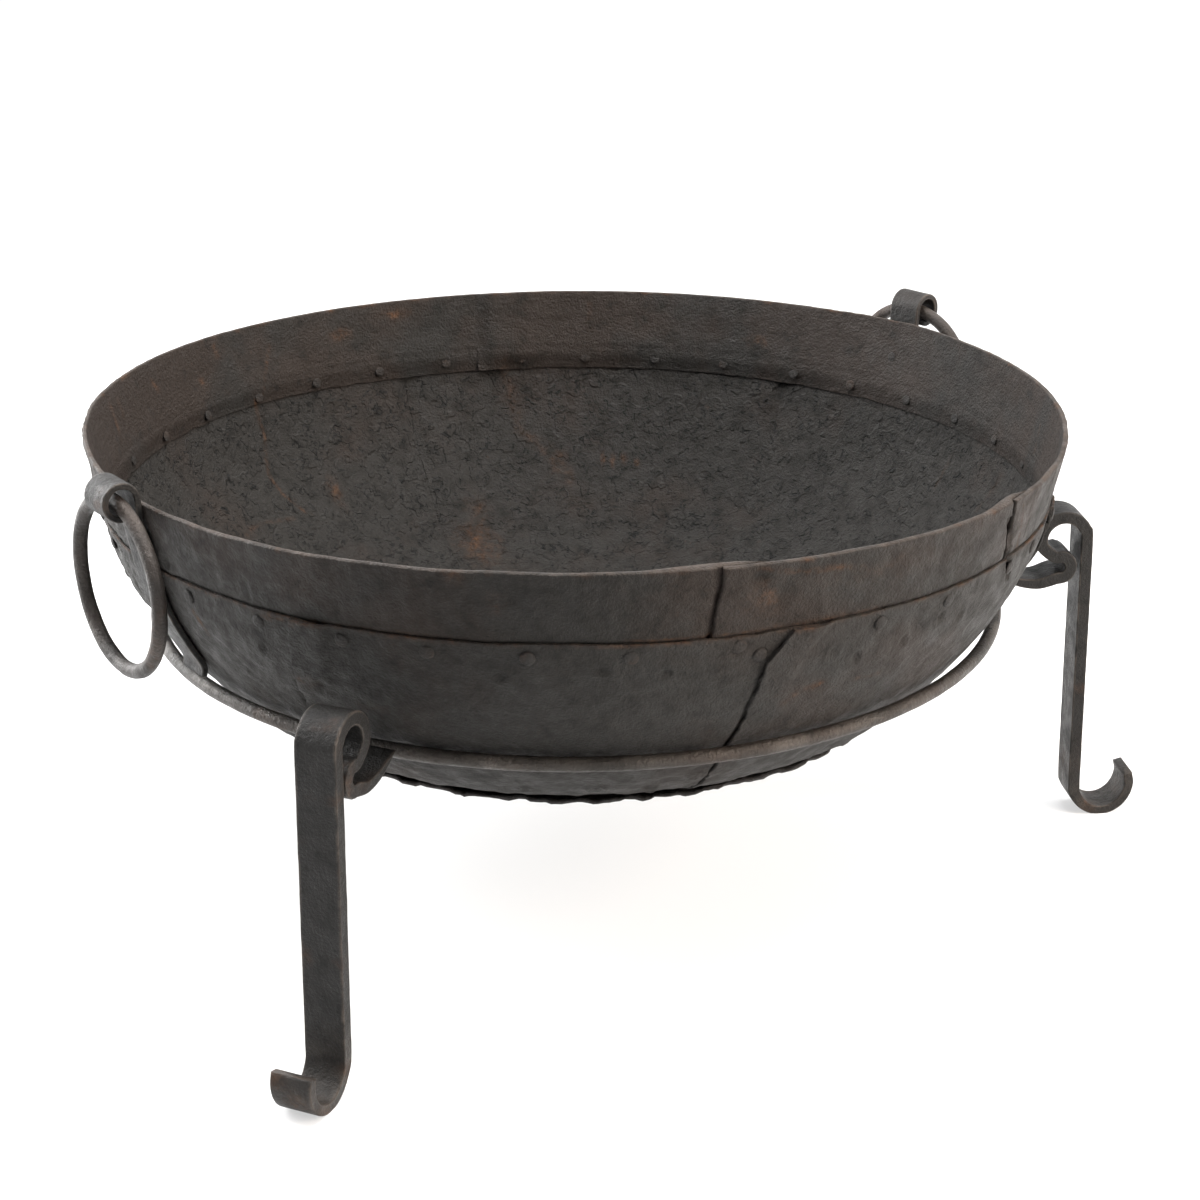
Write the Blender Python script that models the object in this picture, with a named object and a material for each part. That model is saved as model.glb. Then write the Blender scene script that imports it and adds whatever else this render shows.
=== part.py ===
"""A riveted sheet-iron fire bowl that rests in a ring stand with three scroll legs.

Metres, +Z up. Every part is laid out about the bowl's own upright axis with the floor at z = 0, and the
empty that holds them all then moves the middle of the footprint to the origin.
Azimuths are in degrees, anticlockwise from +X seen from above. A "section" is a shape in the upright
plane through the axis, as (radius, height) pairs.
"""

import math

import bmesh
import bpy
import numpy as np
from mathutils import Matrix, Vector

GAP = 0.0003                      # clearance kept between pieces that touch

# Bowl wall: the outer surface is an ellipse turned about the axis, with a straight flare above it.
ELLIPSE_RADIUS = 0.4417
ELLIPSE_DEPTH = 0.333
ELLIPSE_TOP = 0.426
FLARE_START = 0.383
FLARE_SLOPE = 0.20
RIM_HEIGHT = 0.4405

# Rim band: three plates inside the side plates, each end tucked inside its neighbour.
BAND_THICKNESS = 0.0048
BAND_BOTTOM = 0.357
BAND_SEAMS = (101.0, 282.6, 324.5)
BAND_INSET = 0.0004               # of the band's outer face above the lap, from the nominal wall
BAND_HEIGHTS = (RIM_HEIGHT, 0.412, 0.3865, 0.3805, BAND_BOTTOM)

# Side plates: six, lapped outside at the top and inside at the bottom.
SIDE_THICKNESS = 0.0030
SIDE_PROUD = 0.0006
SIDE_TOP = 0.3795
SIDE_SEAMS = (55.0, 112.0, 170.0, 238.0, 290.0, 345.0)
SIDE_HEIGHTS = (SIDE_TOP, 0.368, BAND_BOTTOM, 0.332, 0.300, 0.268, 0.235, 0.202)
SIDE_FOOT_RADII = (0.303, 0.248)  # where the side plates lie in the dish
SIDE_STANDOFF = 0.0047            # of the side plates above the dish's outer surface
SWAP_LOW = 0.275                  # below this height the under end of a plate sinks
SWAP_HIGH = 0.350                 # above this height the over end rises

# Bottom dish: a spherical cap outside the side plates, with a flat struck in its middle.
DISH_SPHERE = 0.69
DISH_LOW = 0.113
DISH_THICKNESS = 0.0035
DISH_FLAT_RADIUS = 0.05
DISH_EDGE_RADIUS = 0.3025
DISH_RADII = (DISH_FLAT_RADIUS, 0.12, 0.19, 0.25, 0.289, DISH_EDGE_RADIUS)
DISH_LIP_FLARE = 0.0016
DISH_SEGMENTS = 60

# Laps between neighbouring plates, in degrees of azimuth.
LAP = 3.6
RAMP = 1.6
AZIMUTH_STEP = 7.5

# How the seams lean: azimuth of the seam -> heights, and its shift in degrees at each.
SEAM_LEANS = {
    238.0: ((0.292, 0.378), (-1.2, 1.0)),
    290.0: ((0.262, 0.353, 0.380), (-1.8, -0.1, 2.7)),
    324.5: ((0.356, RIM_HEIGHT), (1.0, -0.9)),
}
LEAN_FULL = 5.0
LEAN_END = 11.0

# The bowl isn't round: it bears on the stand ring at three lobes, and its rim is wavy.
LOBE_DEPTH = 0.0026
LOBE_AZIMUTH = 270.0
LOBE_HEIGHTS = (0.190, 0.235, 0.290, 0.355)  # where the lobes begin, are full, start to fade and end
RIM_WAVES = ((1, 0.0009, 156.0), (2, 0.0008, 16.0), (3, 0.0017, 35.0), (4, 0.0008, 5.0))
REAR_BULGE = 0.0070
REAR_BULGE_AZIMUTH = 40.0
REAR_BULGE_SPREAD = 10.0

# Rivets through the lap of band and side plates.
RIVET_HEIGHT = 0.3675
RIVET_FIRST = 223.2
RIVET_SPACING = 10.45
RIVETS_BEFORE_PAIR = 6
RIVET_PAIR = ((285.0, 0.3705), (288.5, 0.3600))
RIVET_AFTER_PAIR = 303.7
RIVETS_AFTER_PAIR = 26
RIVET_AFTER_SPACING = 10.352
RIVET_SHANK = 0.0036
RIVET_HOLE = 0.0040
RIVET_HEAD = 0.0062
RIVET_HEAD_HEIGHT = 0.0028
RIVET_TAIL_HEIGHT = 0.0009        # of the nearly flush head inside
RIVET_SIDES = 6

# Stand ring and its legs.
RING_RADIUS = 0.3934
RING_HEIGHT = 0.2591
RING_WIRE = 0.00635
RING_SEGMENTS = 60
LEG_AZIMUTHS = {"leg_front": 246.1, "leg_right": 5.9, "leg_rear": 125.5}
LEG_WIDTH = 0.037
LEG_HALF_THICKNESS = 0.006
SCROLL_CENTRE = (0.4672, 0.2672)
SCROLL_RADIUS = 0.0112
ARCH_CENTRE = (0.4700, 0.2955)
ARCH_RADIUS = 0.0225
LEG_BOTTOM_RADIUS = 0.4985
LEG_TIP = ((0.4022, 0.2634), (0.4140, 0.2585), (0.4300, 0.2530), (0.4480, 0.2512))
LEG_TIP_HALVES = (0.0006, 0.0028, 0.0044, 0.0052)
LEG_BEND = ((0.4545, 0.2835), (0.4488, 0.2895))
FOOT_CENTRE = (0.5275, 0.036)
FOOT_ANGLES = (180.0, 206.0, 234.0, 258.0, 282.0, 306.0, 330.0, 354.0, 376.0)
FOOT_RADII = ((180.0, 234.0, 258.0, 282.0, 306.0, 376.0), (0.0290, 0.0308, 0.0318, 0.0318, 0.0308, 0.0270))
FOOT_HALVES = ((180.0, 258.0, 376.0), (LEG_HALF_THICKNESS, 0.0045, 0.0045))

# Lugs of rolled strap, and the ring handles that hang in them: azimuth, eye centre radius and height.
LUGS = {"left": (215.7, 0.4668, 0.4440), "rear": (41.5, 0.4742, 0.4535)}
LUG_WIDTH = 0.036
LUG_HALF_THICKNESS = 0.00275
LUG_EYE_RADIUS = 0.01425          # to the middle of the strap
LUG_LIP_ANGLE = -118.0
LUG_TAIL_HEIGHTS = (0.428, 0.405, 0.383, 0.358, 0.332, 0.306, 0.283)
LUG_STANDOFF = SIDE_PROUD + 3.0 * GAP
LUG_RIVET_HEIGHTS = {"upper": 0.404, "lower": 0.343}
HANDLE_RADIUS = 0.0738
HANDLE_WIRE = 0.0064
HANDLE_DROP = 0.00210             # of the hanging wire below the eye's centre
HANDLE_SEGMENTS = 36
WIRE_SIDES = 8

IRON = {
    "band_iron": ((0.060, 0.058, 0.058), 0.62, 0.85),
    "plate_iron": ((0.045, 0.044, 0.046), 0.66, 0.85),
    "dish_iron": ((0.035, 0.033, 0.032), 0.72, 0.80),
    "bar_iron": ((0.026, 0.023, 0.021), 0.48, 0.90),
    "handle_iron": ((0.040, 0.038, 0.037), 0.45, 0.90),
    "rivet_iron": ((0.050, 0.047, 0.045), 0.55, 0.90),
}


def smoothstep(x):
    """Ease from 0 to 1 as x does, flat outside."""
    x = min(1.0, max(0.0, x))
    return x * x * (3.0 - 2.0 * x)


def ease_between(x, low, high):
    return smoothstep((x - low) / (high - low))


def turn(azimuth):
    """Bring an angle into -180..180."""
    return (azimuth + 180.0) % 360.0 - 180.0


def wall_radius(z):
    """Nominal outer radius of the bowl at height z."""
    low = min(z, FLARE_START)
    radius = ELLIPSE_RADIUS * math.sqrt(1.0 - ((ELLIPSE_TOP - low) / ELLIPSE_DEPTH) ** 2)
    return radius + FLARE_SLOPE * (z - low)


def dish_height(radius):
    """Height of the dish's outer surface, flat inside its struck middle."""
    radius = max(radius, DISH_FLAT_RADIUS)
    return DISH_LOW + DISH_SPHERE - math.sqrt(DISH_SPHERE**2 - radius**2)


def seam_lean(azimuth, z):
    """Degrees by which the plates are drawn round near a leaning seam."""
    shift = 0.0
    for seam, (heights, shifts) in SEAM_LEANS.items():
        near = 1.0 - ease_between(abs(turn(azimuth - seam)), LEAN_FULL, LEAN_END)
        shift += near * float(np.interp(z, heights, shifts))
    return shift


def place(azimuth, radius, z):
    """A point of the bowl, with its leaning seams, three lobes, rear bulge and wavy rim."""
    azimuth = azimuth + seam_lean(azimuth, z)
    angle = math.radians(azimuth)
    begin, full, fade, finish = LOBE_HEIGHTS
    lobed = ease_between(z, begin, full) * (1.0 - ease_between(z, fade, finish))
    radius += lobed * LOBE_DEPTH * math.cos(3.0 * math.radians(azimuth - LOBE_AZIMUTH))
    near_rim = ease_between(z, BAND_BOTTOM, RIM_HEIGHT)
    off_bulge = turn(azimuth - REAR_BULGE_AZIMUTH) / REAR_BULGE_SPREAD
    radius += REAR_BULGE * near_rim * math.exp(-(off_bulge**2))
    for count, height, peak in RIM_WAVES:
        z += near_rim * height * math.cos(count * math.radians(azimuth - peak))
    return Vector((radius * math.cos(angle), radius * math.sin(angle), z))


def normals_along(points):
    """Unit normals of a section that runs downwards or outwards in, pointing away from the bowl."""
    normals = []
    for index in range(len(points)):
        before = Vector(points[max(index - 1, 0)])
        after = Vector(points[min(index + 1, len(points) - 1)])
        along = (after - before).normalized()
        normals.append(Vector((-along.y, along.x)))
    return normals


def over_ramp(past):
    """1 where a plate lies over the lap that starts at 0 degrees, falling to 0 beyond it."""
    past = round(past, 6)
    if past < 0.0 or past > LAP + RAMP:
        return 0.0
    return min(1.0, (LAP + RAMP - past) / RAMP)


def under_ramp(past):
    """1 where a plate lies under the lap that starts at 0 degrees, rising from 0 before it."""
    past = round(past, 6)
    if past < -RAMP or past > LAP:
        return 0.0
    return min(1.0, (past + RAMP) / RAMP)


def shared_azimuths():
    """The azimuths at which every plate has its edges, so that neighbouring facets lie parallel."""
    kept = {azimuth % 360.0 for azimuth, z in rivet_places()} | {lug[0] for lug in LUGS.values()}
    for seam in SIDE_SEAMS + BAND_SEAMS:
        kept.update((seam + d) % 360.0 for d in (-RAMP, 0.0, LAP, LAP + RAMP))
    for index in range(round(360.0 / AZIMUTH_STEP)):
        azimuth = index * AZIMUTH_STEP
        if min(abs(turn(azimuth - near)) for near in kept) > 0.42 * AZIMUTH_STEP:
            kept.add(azimuth)
    return sorted(kept | {azimuth + 360.0 for azimuth in kept})


def new_object(name, build_mesh, material):
    """A smooth-shaded object from a bmesh, with its faces turned outwards."""
    bmesh.ops.recalc_face_normals(build_mesh, faces=build_mesh.faces)
    mesh = bpy.data.meshes.new(name)
    build_mesh.to_mesh(mesh)
    build_mesh.free()
    mesh.shade_smooth()
    mesh.set_sharp_from_angle(angle=math.radians(32.0))
    piece = bpy.data.objects.new(name, mesh)
    bpy.context.scene.collection.objects.link(piece)
    if material:
        mesh.materials.append(bpy.data.materials[material])
    return piece


def skin_loops(build_mesh, loops, wrap=False, strip_caps=False):
    """Skin equal loops one to the next; close the ends with one face, or a strip across a thin loop."""
    rings = [[build_mesh.verts.new(point) for point in loop] for loop in loops]
    count = len(rings[0])
    steps = list(zip(rings, rings[1:]))
    if wrap:
        steps.append((rings[-1], rings[0]))
    for first, second in steps:
        for i in range(count):
            j = (i + 1) % count
            build_mesh.faces.new((first[i], first[j], second[j], second[i]))
    if wrap:
        return
    for ring in (rings[0], rings[-1]):
        if strip_caps:
            for i in range(count // 2 - 1):
                build_mesh.faces.new((ring[i], ring[i + 1], ring[count - 2 - i], ring[count - 1 - i]))
        else:
            build_mesh.faces.new(ring)


def skinned(name, loops, material, **options):
    build_mesh = bmesh.new()
    skin_loops(build_mesh, loops, **options)
    return new_object(name, build_mesh, material)


def plate(name, start, end, section, thickness, rise, material):
    """A curved plate between two azimuths; rise(azimuth, z) lifts it along its normal at the laps."""
    normals = normals_along(section)
    azimuths = [start] + [a for a in shared_azimuths() if start + 0.01 < a < end - 0.01] + [end]
    loops = []
    for azimuth in azimuths:
        outer = []
        inner = []
        for (radius, z), normal in zip(section, normals):
            lift = rise(azimuth, z)
            out = Vector((radius, z)) + normal * lift
            into = Vector((radius, z)) + normal * (lift - thickness)
            outer.append(place(azimuth, out.x, out.y))
            inner.append(place(azimuth, into.x, into.y))
        loops.append(outer + inner[::-1])
    return skinned(name, loops, material, strip_caps=True)


def band_section():
    """The band's outer face, stepping in below the top of the side plates."""
    tucked = SIDE_THICKNESS - SIDE_PROUD + GAP
    section = []
    for z in BAND_HEIGHTS:
        inset = tucked if z < SIDE_TOP + 0.0015 else BAND_INSET
        section.append((wall_radius(z) - inset, z))
    return section


def side_section():
    section = [(wall_radius(z) + SIDE_PROUD, z) for z in SIDE_HEIGHTS]
    section += [(radius, dish_height(radius) + SIDE_STANDOFF) for radius in SIDE_FOOT_RADII]
    return section


def plate_spans(seams):
    """Start and end azimuth of each plate, with its lap under the next one."""
    ends = seams[1:] + (seams[0] + 360.0,)
    return list(zip(seams, ends))


def make_rim_band():
    pieces = []
    step = BAND_THICKNESS + GAP
    for number, (start, seam) in enumerate(plate_spans(BAND_SEAMS), 1):

        def rise(azimuth, z, seam=seam):
            return -step * under_ramp(azimuth - seam)

        name = f"rim_band_plate_{number}"
        section = band_section()
        pieces.append(plate(name, start, seam + LAP, section, BAND_THICKNESS, rise, "band_iron"))
    return pieces


def make_side_plates():
    pieces = []
    step = SIDE_THICKNESS + GAP
    for number, (start, seam) in enumerate(plate_spans(SIDE_SEAMS), 1):

        def rise(azimuth, z, start=start, seam=seam):
            raised = ease_between(z, SWAP_LOW, SWAP_HIGH)
            lift = raised * over_ramp(azimuth - start)
            sink = (1.0 - raised) * under_ramp(azimuth - seam)
            return step * (lift - sink)

        name = f"side_plate_{number}"
        section = side_section()
        pieces.append(plate(name, start, seam + LAP, section, SIDE_THICKNESS, rise, "plate_iron"))
    return pieces


def make_dish():
    """The bottom dish, turned about the axis, with a lip that stands off the side plates."""
    under = []
    for radius in DISH_RADII:
        flare = DISH_LIP_FLARE if radius == DISH_EDGE_RADIUS else 0.0
        under.append((radius, dish_height(radius) - flare))
    slopes = [math.asin(radius / DISH_SPHERE) for radius, z in under]
    upper = [(radius, z + DISH_THICKNESS / math.cos(slope)) for (radius, z), slope in zip(under, slopes)]
    loops = []
    for radius, z in under + upper[::-1]:
        turns = [360.0 * i / DISH_SEGMENTS for i in range(DISH_SEGMENTS)]
        loops.append([place(azimuth, radius, z) for azimuth in turns])
    return skinned("bottom_dish", loops, "dish_iron")


def rivet_frame(azimuth, z, lift):
    """A frame on the wall, lifted off its nominal face, with its X axis pointing straight out."""
    low = place(azimuth, wall_radius(z - 0.002), z - 0.002)
    high = place(azimuth, wall_radius(z + 0.002), z + 0.002)
    up = (high - low).normalized()
    beside = place(azimuth + 0.2, wall_radius(z), z) - place(azimuth - 0.2, wall_radius(z), z)
    out = beside.normalized().cross(up).normalized()
    across = up.cross(out)
    middle = place(azimuth, wall_radius(z), z) + out * lift
    return Matrix.Translation(middle) @ Matrix((out, across, up)).transposed().to_4x4()


def turned_loops(frame, profile, sides):
    """Loops of a small turned piece about its frame's X axis, from (distance, radius) pairs."""
    loops = []
    for distance, radius in profile:
        angles = [2.0 * math.pi * i / sides for i in range(sides)]
        ring = [(distance, radius * math.cos(a), radius * math.sin(a)) for a in angles]
        loops.append([frame @ Vector(point) for point in ring])
    return loops


def make_rivet(name, azimuth, z, lift, grip):
    """A rivet with a domed head outside and a nearly flush one inside; returns it and its hole's loops."""
    frame = rivet_frame(azimuth, z, lift)
    seat = 0.0005
    inside = -grip - seat
    profile = (
        (seat + RIVET_HEAD_HEIGHT, 0.40 * RIVET_HEAD),
        (seat + 0.6 * RIVET_HEAD_HEIGHT, 0.85 * RIVET_HEAD),
        (seat, RIVET_HEAD),
        (seat, RIVET_SHANK),
        (inside, RIVET_SHANK),
        (inside, 0.95 * RIVET_HEAD),
        (inside - RIVET_TAIL_HEIGHT, 0.7 * RIVET_HEAD),
    )
    piece = skinned(name, turned_loops(frame, profile, RIVET_SIDES), "rivet_iron")
    reach = 0.004
    hole = turned_loops(frame, ((reach, RIVET_HOLE), (-grip - reach, RIVET_HOLE)), RIVET_SIDES)
    return piece, hole


def rivet_places():
    """Azimuth and height of each rivet of the lap, kept off the edges of the plates' own laps."""
    azimuths = [RIVET_FIRST + RIVET_SPACING * i for i in range(RIVETS_BEFORE_PAIR)]
    azimuths += [RIVET_AFTER_PAIR + RIVET_AFTER_SPACING * i for i in range(RIVETS_AFTER_PAIR)]
    places = []
    for azimuth in azimuths:
        for seam in SIDE_SEAMS:
            past = turn(azimuth - seam)
            if -1.3 < past < LAP + RAMP + 1.1:
                azimuth = seam + (LAP / 2.0 if past < LAP else LAP + RAMP + 1.2)
        for seam in BAND_SEAMS:
            past = turn(azimuth - seam)
            if -RAMP - 1.2 < past < LAP + 1.2:
                azimuth = seam + (LAP / 2.0 if past > -1.0 else -RAMP - 1.3)
        places.append((azimuth, RIVET_HEIGHT))
    return places + list(RIVET_PAIR)


def make_lap_rivets():
    pieces = []
    holes = []
    for number, (azimuth, z) in enumerate(rivet_places(), 1):
        lapped_side = max(over_ramp(turn(azimuth - seam)) for seam in SIDE_SEAMS)
        lapped_band = max(under_ramp(turn(azimuth - seam)) for seam in BAND_SEAMS)
        lift = SIDE_PROUD + lapped_side * (SIDE_THICKNESS + GAP)
        grip = (1.0 + lapped_side) * (SIDE_THICKNESS + GAP) + (1.0 + lapped_band) * (BAND_THICKNESS + GAP)
        piece, hole = make_rivet(f"lap_rivet_{number:02d}", azimuth, z, lift, grip)
        pieces.append(piece)
        holes.append(hole)
    return pieces, holes


def thick_line_loops(path, halves, width, azimuth):
    """Loops of a flat bar bent along a section path, thick in the section and wide across it."""
    normals = normals_along(path)
    angle = math.radians(azimuth)
    out = Vector((math.cos(angle), math.sin(angle), 0.0))
    across = Vector((-math.sin(angle), math.cos(angle), 0.0))
    up = Vector((0.0, 0.0, 1.0))
    loops = []
    for point, normal, half in zip(path, normals, halves):
        first = Vector(point) + normal * half
        second = Vector(point) - normal * half
        corners = ((first, -1.0), (first, 1.0), (second, 1.0), (second, -1.0))
        loops.append([out * p.x + up * p.y + across * (side * width / 2.0) for p, side in corners])
    return loops


def arc_points(centre, radius, start, end, steps):
    points = []
    for i in range(steps + 1):
        angle = math.radians(start + (end - start) * i / steps)
        points.append((centre[0] + radius * math.cos(angle), centre[1] + radius * math.sin(angle)))
    return points


def leg_path():
    """Middle line and half thickness of a leg, from its chisel tip on the ring to its scrolled foot."""
    middle = arc_points(SCROLL_CENTRE, SCROLL_RADIUS, -100.0, 112.0, 7)
    middle += LEG_BEND
    middle += arc_points(ARCH_CENTRE, ARCH_RADIUS, 180.0, 2.0, 8)
    middle.append((LEG_BOTTOM_RADIUS - 0.003, 0.165))
    foot = []
    for angle in FOOT_ANGLES:
        radius = float(np.interp(angle, *FOOT_RADII))
        across = radius * math.cos(math.radians(angle))
        foot.append((FOOT_CENTRE[0] + across, FOOT_CENTRE[1] + radius * math.sin(math.radians(angle))))
    foot_halves = [float(np.interp(angle, *FOOT_HALVES)) for angle in FOOT_ANGLES]
    path = [*LEG_TIP, *middle, *foot]
    halves = [*LEG_TIP_HALVES, *[LEG_HALF_THICKNESS] * len(middle), *foot_halves]
    return path, halves


def make_legs():
    path, halves = leg_path()
    pieces = []
    for name, azimuth in LEG_AZIMUTHS.items():
        loops = thick_line_loops(path, halves, LEG_WIDTH, azimuth)
        pieces.append(skinned(name, loops, "bar_iron"))
    return pieces


def torus_loops(radius, wire, segments, sides):
    """Loops of a ring of round bar about Z."""
    loops = []
    for i in range(segments):
        around = 2.0 * math.pi * i / segments
        loop = []
        for j in range(sides):
            angle = 2.0 * math.pi * j / sides
            reach = radius + wire * math.cos(angle)
            height = wire * math.sin(angle)
            loop.append(Vector((reach * math.cos(around), reach * math.sin(around), height)))
        loops.append(loop)
    return loops


def make_stand_ring():
    loops = torus_loops(RING_RADIUS, RING_WIRE, RING_SEGMENTS, WIRE_SIDES)
    ring = skinned("stand_ring", loops, "bar_iron", wrap=True)
    ring.location = (0.0, 0.0, RING_HEIGHT)
    return ring


def make_lug(side, azimuth, eye_radius, eye_height):
    """A strap that lies down the wall and rolls outwards into an eye, with its two rivets."""
    eye = arc_points((eye_radius, eye_height), LUG_EYE_RADIUS, LUG_LIP_ANGLE, 180.0, 14)
    tail = []
    for z in LUG_TAIL_HEIGHTS:
        on_wall = place(azimuth, wall_radius(z), z)
        tail.append((on_wall.xy.length + LUG_STANDOFF + LUG_HALF_THICKNESS, on_wall.z))
    path = eye + tail
    loops = thick_line_loops(path, [LUG_HALF_THICKNESS] * len(path), LUG_WIDTH, azimuth)
    pieces = [skinned(f"lug_{side}", loops, "bar_iron")]
    holes = []
    strap = 2.0 * LUG_HALF_THICKNESS + LUG_STANDOFF
    for row, z in LUG_RIVET_HEIGHTS.items():
        behind = BAND_THICKNESS + BAND_INSET if row == "upper" else SIDE_THICKNESS
        piece, hole = make_rivet(f"lug_rivet_{side}_{row}", azimuth, z, strap, strap + behind + 2.0 * GAP)
        pieces.append(piece)
        holes.append(hole)
    return pieces, holes


def make_handle(side, azimuth, eye_radius, eye_height):
    """A ring handle, its origin on the hinge axis where its wire passes through the eye."""
    loops = torus_loops(HANDLE_RADIUS, HANDLE_WIRE, HANDLE_SEGMENTS, WIRE_SIDES)
    quarter_turn = Matrix.Rotation(math.radians(90.0), 4, "Y")
    stand_up = Matrix.Translation((0.0, 0.0, -HANDLE_RADIUS)) @ quarter_turn
    loops = [[stand_up @ point for point in loop] for loop in loops]
    ring = skinned(f"handle_ring_{side}", loops, "handle_iron", wrap=True)
    angle = math.radians(azimuth)
    ring.location = (eye_radius * math.cos(angle), eye_radius * math.sin(angle), eye_height - HANDLE_DROP)
    ring.rotation_euler = (0.0, 0.0, angle)
    return ring


def make_cutter(name, holes):
    """One wire-drawn object with a prism for each hole."""
    build_mesh = bmesh.new()
    for loops in holes:
        skin_loops(build_mesh, loops)
    cutter = new_object(name, build_mesh, None)
    cutter.hide_render = True
    cutter.display_type = "WIRE"
    return cutter


def cut_holes(pieces, cutter):
    for piece in pieces:
        boolean = piece.modifiers.new("rivet_holes", "BOOLEAN")
        boolean.operation = "DIFFERENCE"
        boolean.solver = "EXACT"
        boolean.object = cutter


def make_materials():
    for name, (colour, roughness, metallic) in IRON.items():
        material = bpy.data.materials.new(name)
        material.use_nodes = True
        shader = material.node_tree.nodes["Principled BSDF"]
        shader.inputs["Base Color"].default_value = (*colour, 1.0)
        shader.inputs["Roughness"].default_value = roughness
        shader.inputs["Metallic"].default_value = metallic


def centre_footprint(pieces, holder):
    """Move the holder so that the parts stand on z = 0 with the middle of their box at the origin."""
    bpy.context.view_layer.update()
    corners = np.array([piece.matrix_world @ v.co for piece in pieces for v in piece.data.vertices])
    low = corners.min(axis=0)
    high = corners.max(axis=0)
    middle = (low + high) / 2.0
    holder.location = (-middle[0], -middle[1], -low[2])


def main():
    for item in list(bpy.data.objects):
        bpy.data.objects.remove(item, do_unlink=True)
    make_materials()
    plates = make_rim_band() + make_side_plates()
    rivets, holes = make_lap_rivets()
    pieces = rivets + [make_dish(), make_stand_ring()] + make_legs()
    for side, (azimuth, eye_radius, eye_height) in LUGS.items():
        lug_pieces, lug_holes = make_lug(side, azimuth, eye_radius, eye_height)
        plates.append(lug_pieces[0])
        pieces += lug_pieces[1:]
        pieces.append(make_handle(side, azimuth, eye_radius, eye_height))
        holes += lug_holes
    cutter = make_cutter("rivet_hole_cutter", holes)
    cut_holes(plates, cutter)
    pieces += plates
    holder = bpy.data.objects.new("bowl_axis", None)
    bpy.context.scene.collection.objects.link(holder)
    for piece in pieces + [cutter]:
        piece.parent = holder
    centre_footprint(pieces, holder)
    bpy.context.view_layer.update()


main()
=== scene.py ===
"""Looks of the riveted iron fire bowl: hammered plates, forged bars and rust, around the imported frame."""

import math

import bpy
import numpy as np
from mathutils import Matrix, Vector


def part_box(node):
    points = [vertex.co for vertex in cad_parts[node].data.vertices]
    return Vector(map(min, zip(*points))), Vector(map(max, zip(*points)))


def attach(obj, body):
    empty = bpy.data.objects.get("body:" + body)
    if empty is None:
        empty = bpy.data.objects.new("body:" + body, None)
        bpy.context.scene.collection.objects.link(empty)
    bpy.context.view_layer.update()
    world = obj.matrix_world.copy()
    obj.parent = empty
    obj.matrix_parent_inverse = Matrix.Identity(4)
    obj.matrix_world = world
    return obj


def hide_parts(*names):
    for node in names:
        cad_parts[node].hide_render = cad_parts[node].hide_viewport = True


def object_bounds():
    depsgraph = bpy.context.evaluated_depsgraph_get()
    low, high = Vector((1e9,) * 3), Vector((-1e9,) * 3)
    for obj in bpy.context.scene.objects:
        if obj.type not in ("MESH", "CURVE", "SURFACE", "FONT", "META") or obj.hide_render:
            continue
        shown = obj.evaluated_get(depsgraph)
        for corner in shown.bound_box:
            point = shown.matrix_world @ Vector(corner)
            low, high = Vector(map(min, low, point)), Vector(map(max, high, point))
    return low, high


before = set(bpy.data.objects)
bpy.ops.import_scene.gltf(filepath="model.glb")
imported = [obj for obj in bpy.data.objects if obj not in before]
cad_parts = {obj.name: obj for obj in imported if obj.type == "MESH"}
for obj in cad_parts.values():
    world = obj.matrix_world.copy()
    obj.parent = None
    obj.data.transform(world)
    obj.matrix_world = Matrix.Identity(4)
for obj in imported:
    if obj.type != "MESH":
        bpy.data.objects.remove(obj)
CAD_BOX = [list(corner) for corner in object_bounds()]

# The bowl's axis and the stand's height come from the frame's stand ring.
RING_LOW, RING_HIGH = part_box("stand_ring")
AXIS = np.array([(RING_LOW.x + RING_HIGH.x) / 2.0, (RING_LOW.y + RING_HIGH.y) / 2.0, 0.0])
RING_HEIGHT = 0.2591
AXIS[2] = (RING_LOW.z + RING_HIGH.z) / 2.0 - RING_HEIGHT

# Bowl wall, as in the CAD: heights and radii about the bowl's own axis, azimuths in degrees from +X.
ELLIPSE_RADIUS = 0.4417
ELLIPSE_DEPTH = 0.333
ELLIPSE_TOP = 0.426
FLARE_START = 0.383
FLARE_SLOPE = 0.2
RIM_HEIGHT = 0.4405
BAND_THICKNESS = 0.0048
BAND_BOTTOM = 0.357
BAND_SEAMS = (101.0, 282.6, 324.5)
BAND_INSET = 0.0004
TUCK_HEIGHTS = (0.3795, 0.3828)
SIDE_THICKNESS = 0.003
SIDE_PROUD = 0.0006
SIDE_TOP = 0.3795
SIDE_SEAMS = (55.0, 112.0, 170.0, 238.0, 290.0, 345.0)
SIDE_CURVE_END = 0.202
SIDE_FOOT_RADII = (0.303, 0.248)
SIDE_STANDOFF = 0.0047
SWAP_LOW = 0.275
SWAP_HIGH = 0.35
DISH_SPHERE = 0.69
DISH_LOW = 0.113
DISH_THICKNESS = 0.0035
DISH_FLAT_RADIUS = 0.05
DISH_EDGE_RADIUS = 0.3025
LAP = 3.6
RAMP = 1.6
GAP = 0.0003
SEAM_LEANS = {
    238.0: ((0.292, 0.378), (-1.2, 1.0)),
    290.0: ((0.262, 0.353, 0.38), (-1.8, -0.1, 2.7)),
    324.5: ((0.356, RIM_HEIGHT), (1.0, -0.9)),
}
LEAN_FULL = 5.0
LEAN_END = 11.0
LOBE_DEPTH = 0.0026
LOBE_AZIMUTH = 270.0
RIM_WAVES = ((1, 0.0009, 156.0), (2, 0.0008, 16.0), (3, 0.0017, 35.0), (4, 0.0008, 5.0))
REAR_BULGE = 0.007
REAR_BULGE_AZIMUTH = 40.0
REAR_BULGE_SPREAD = 10.0

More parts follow.
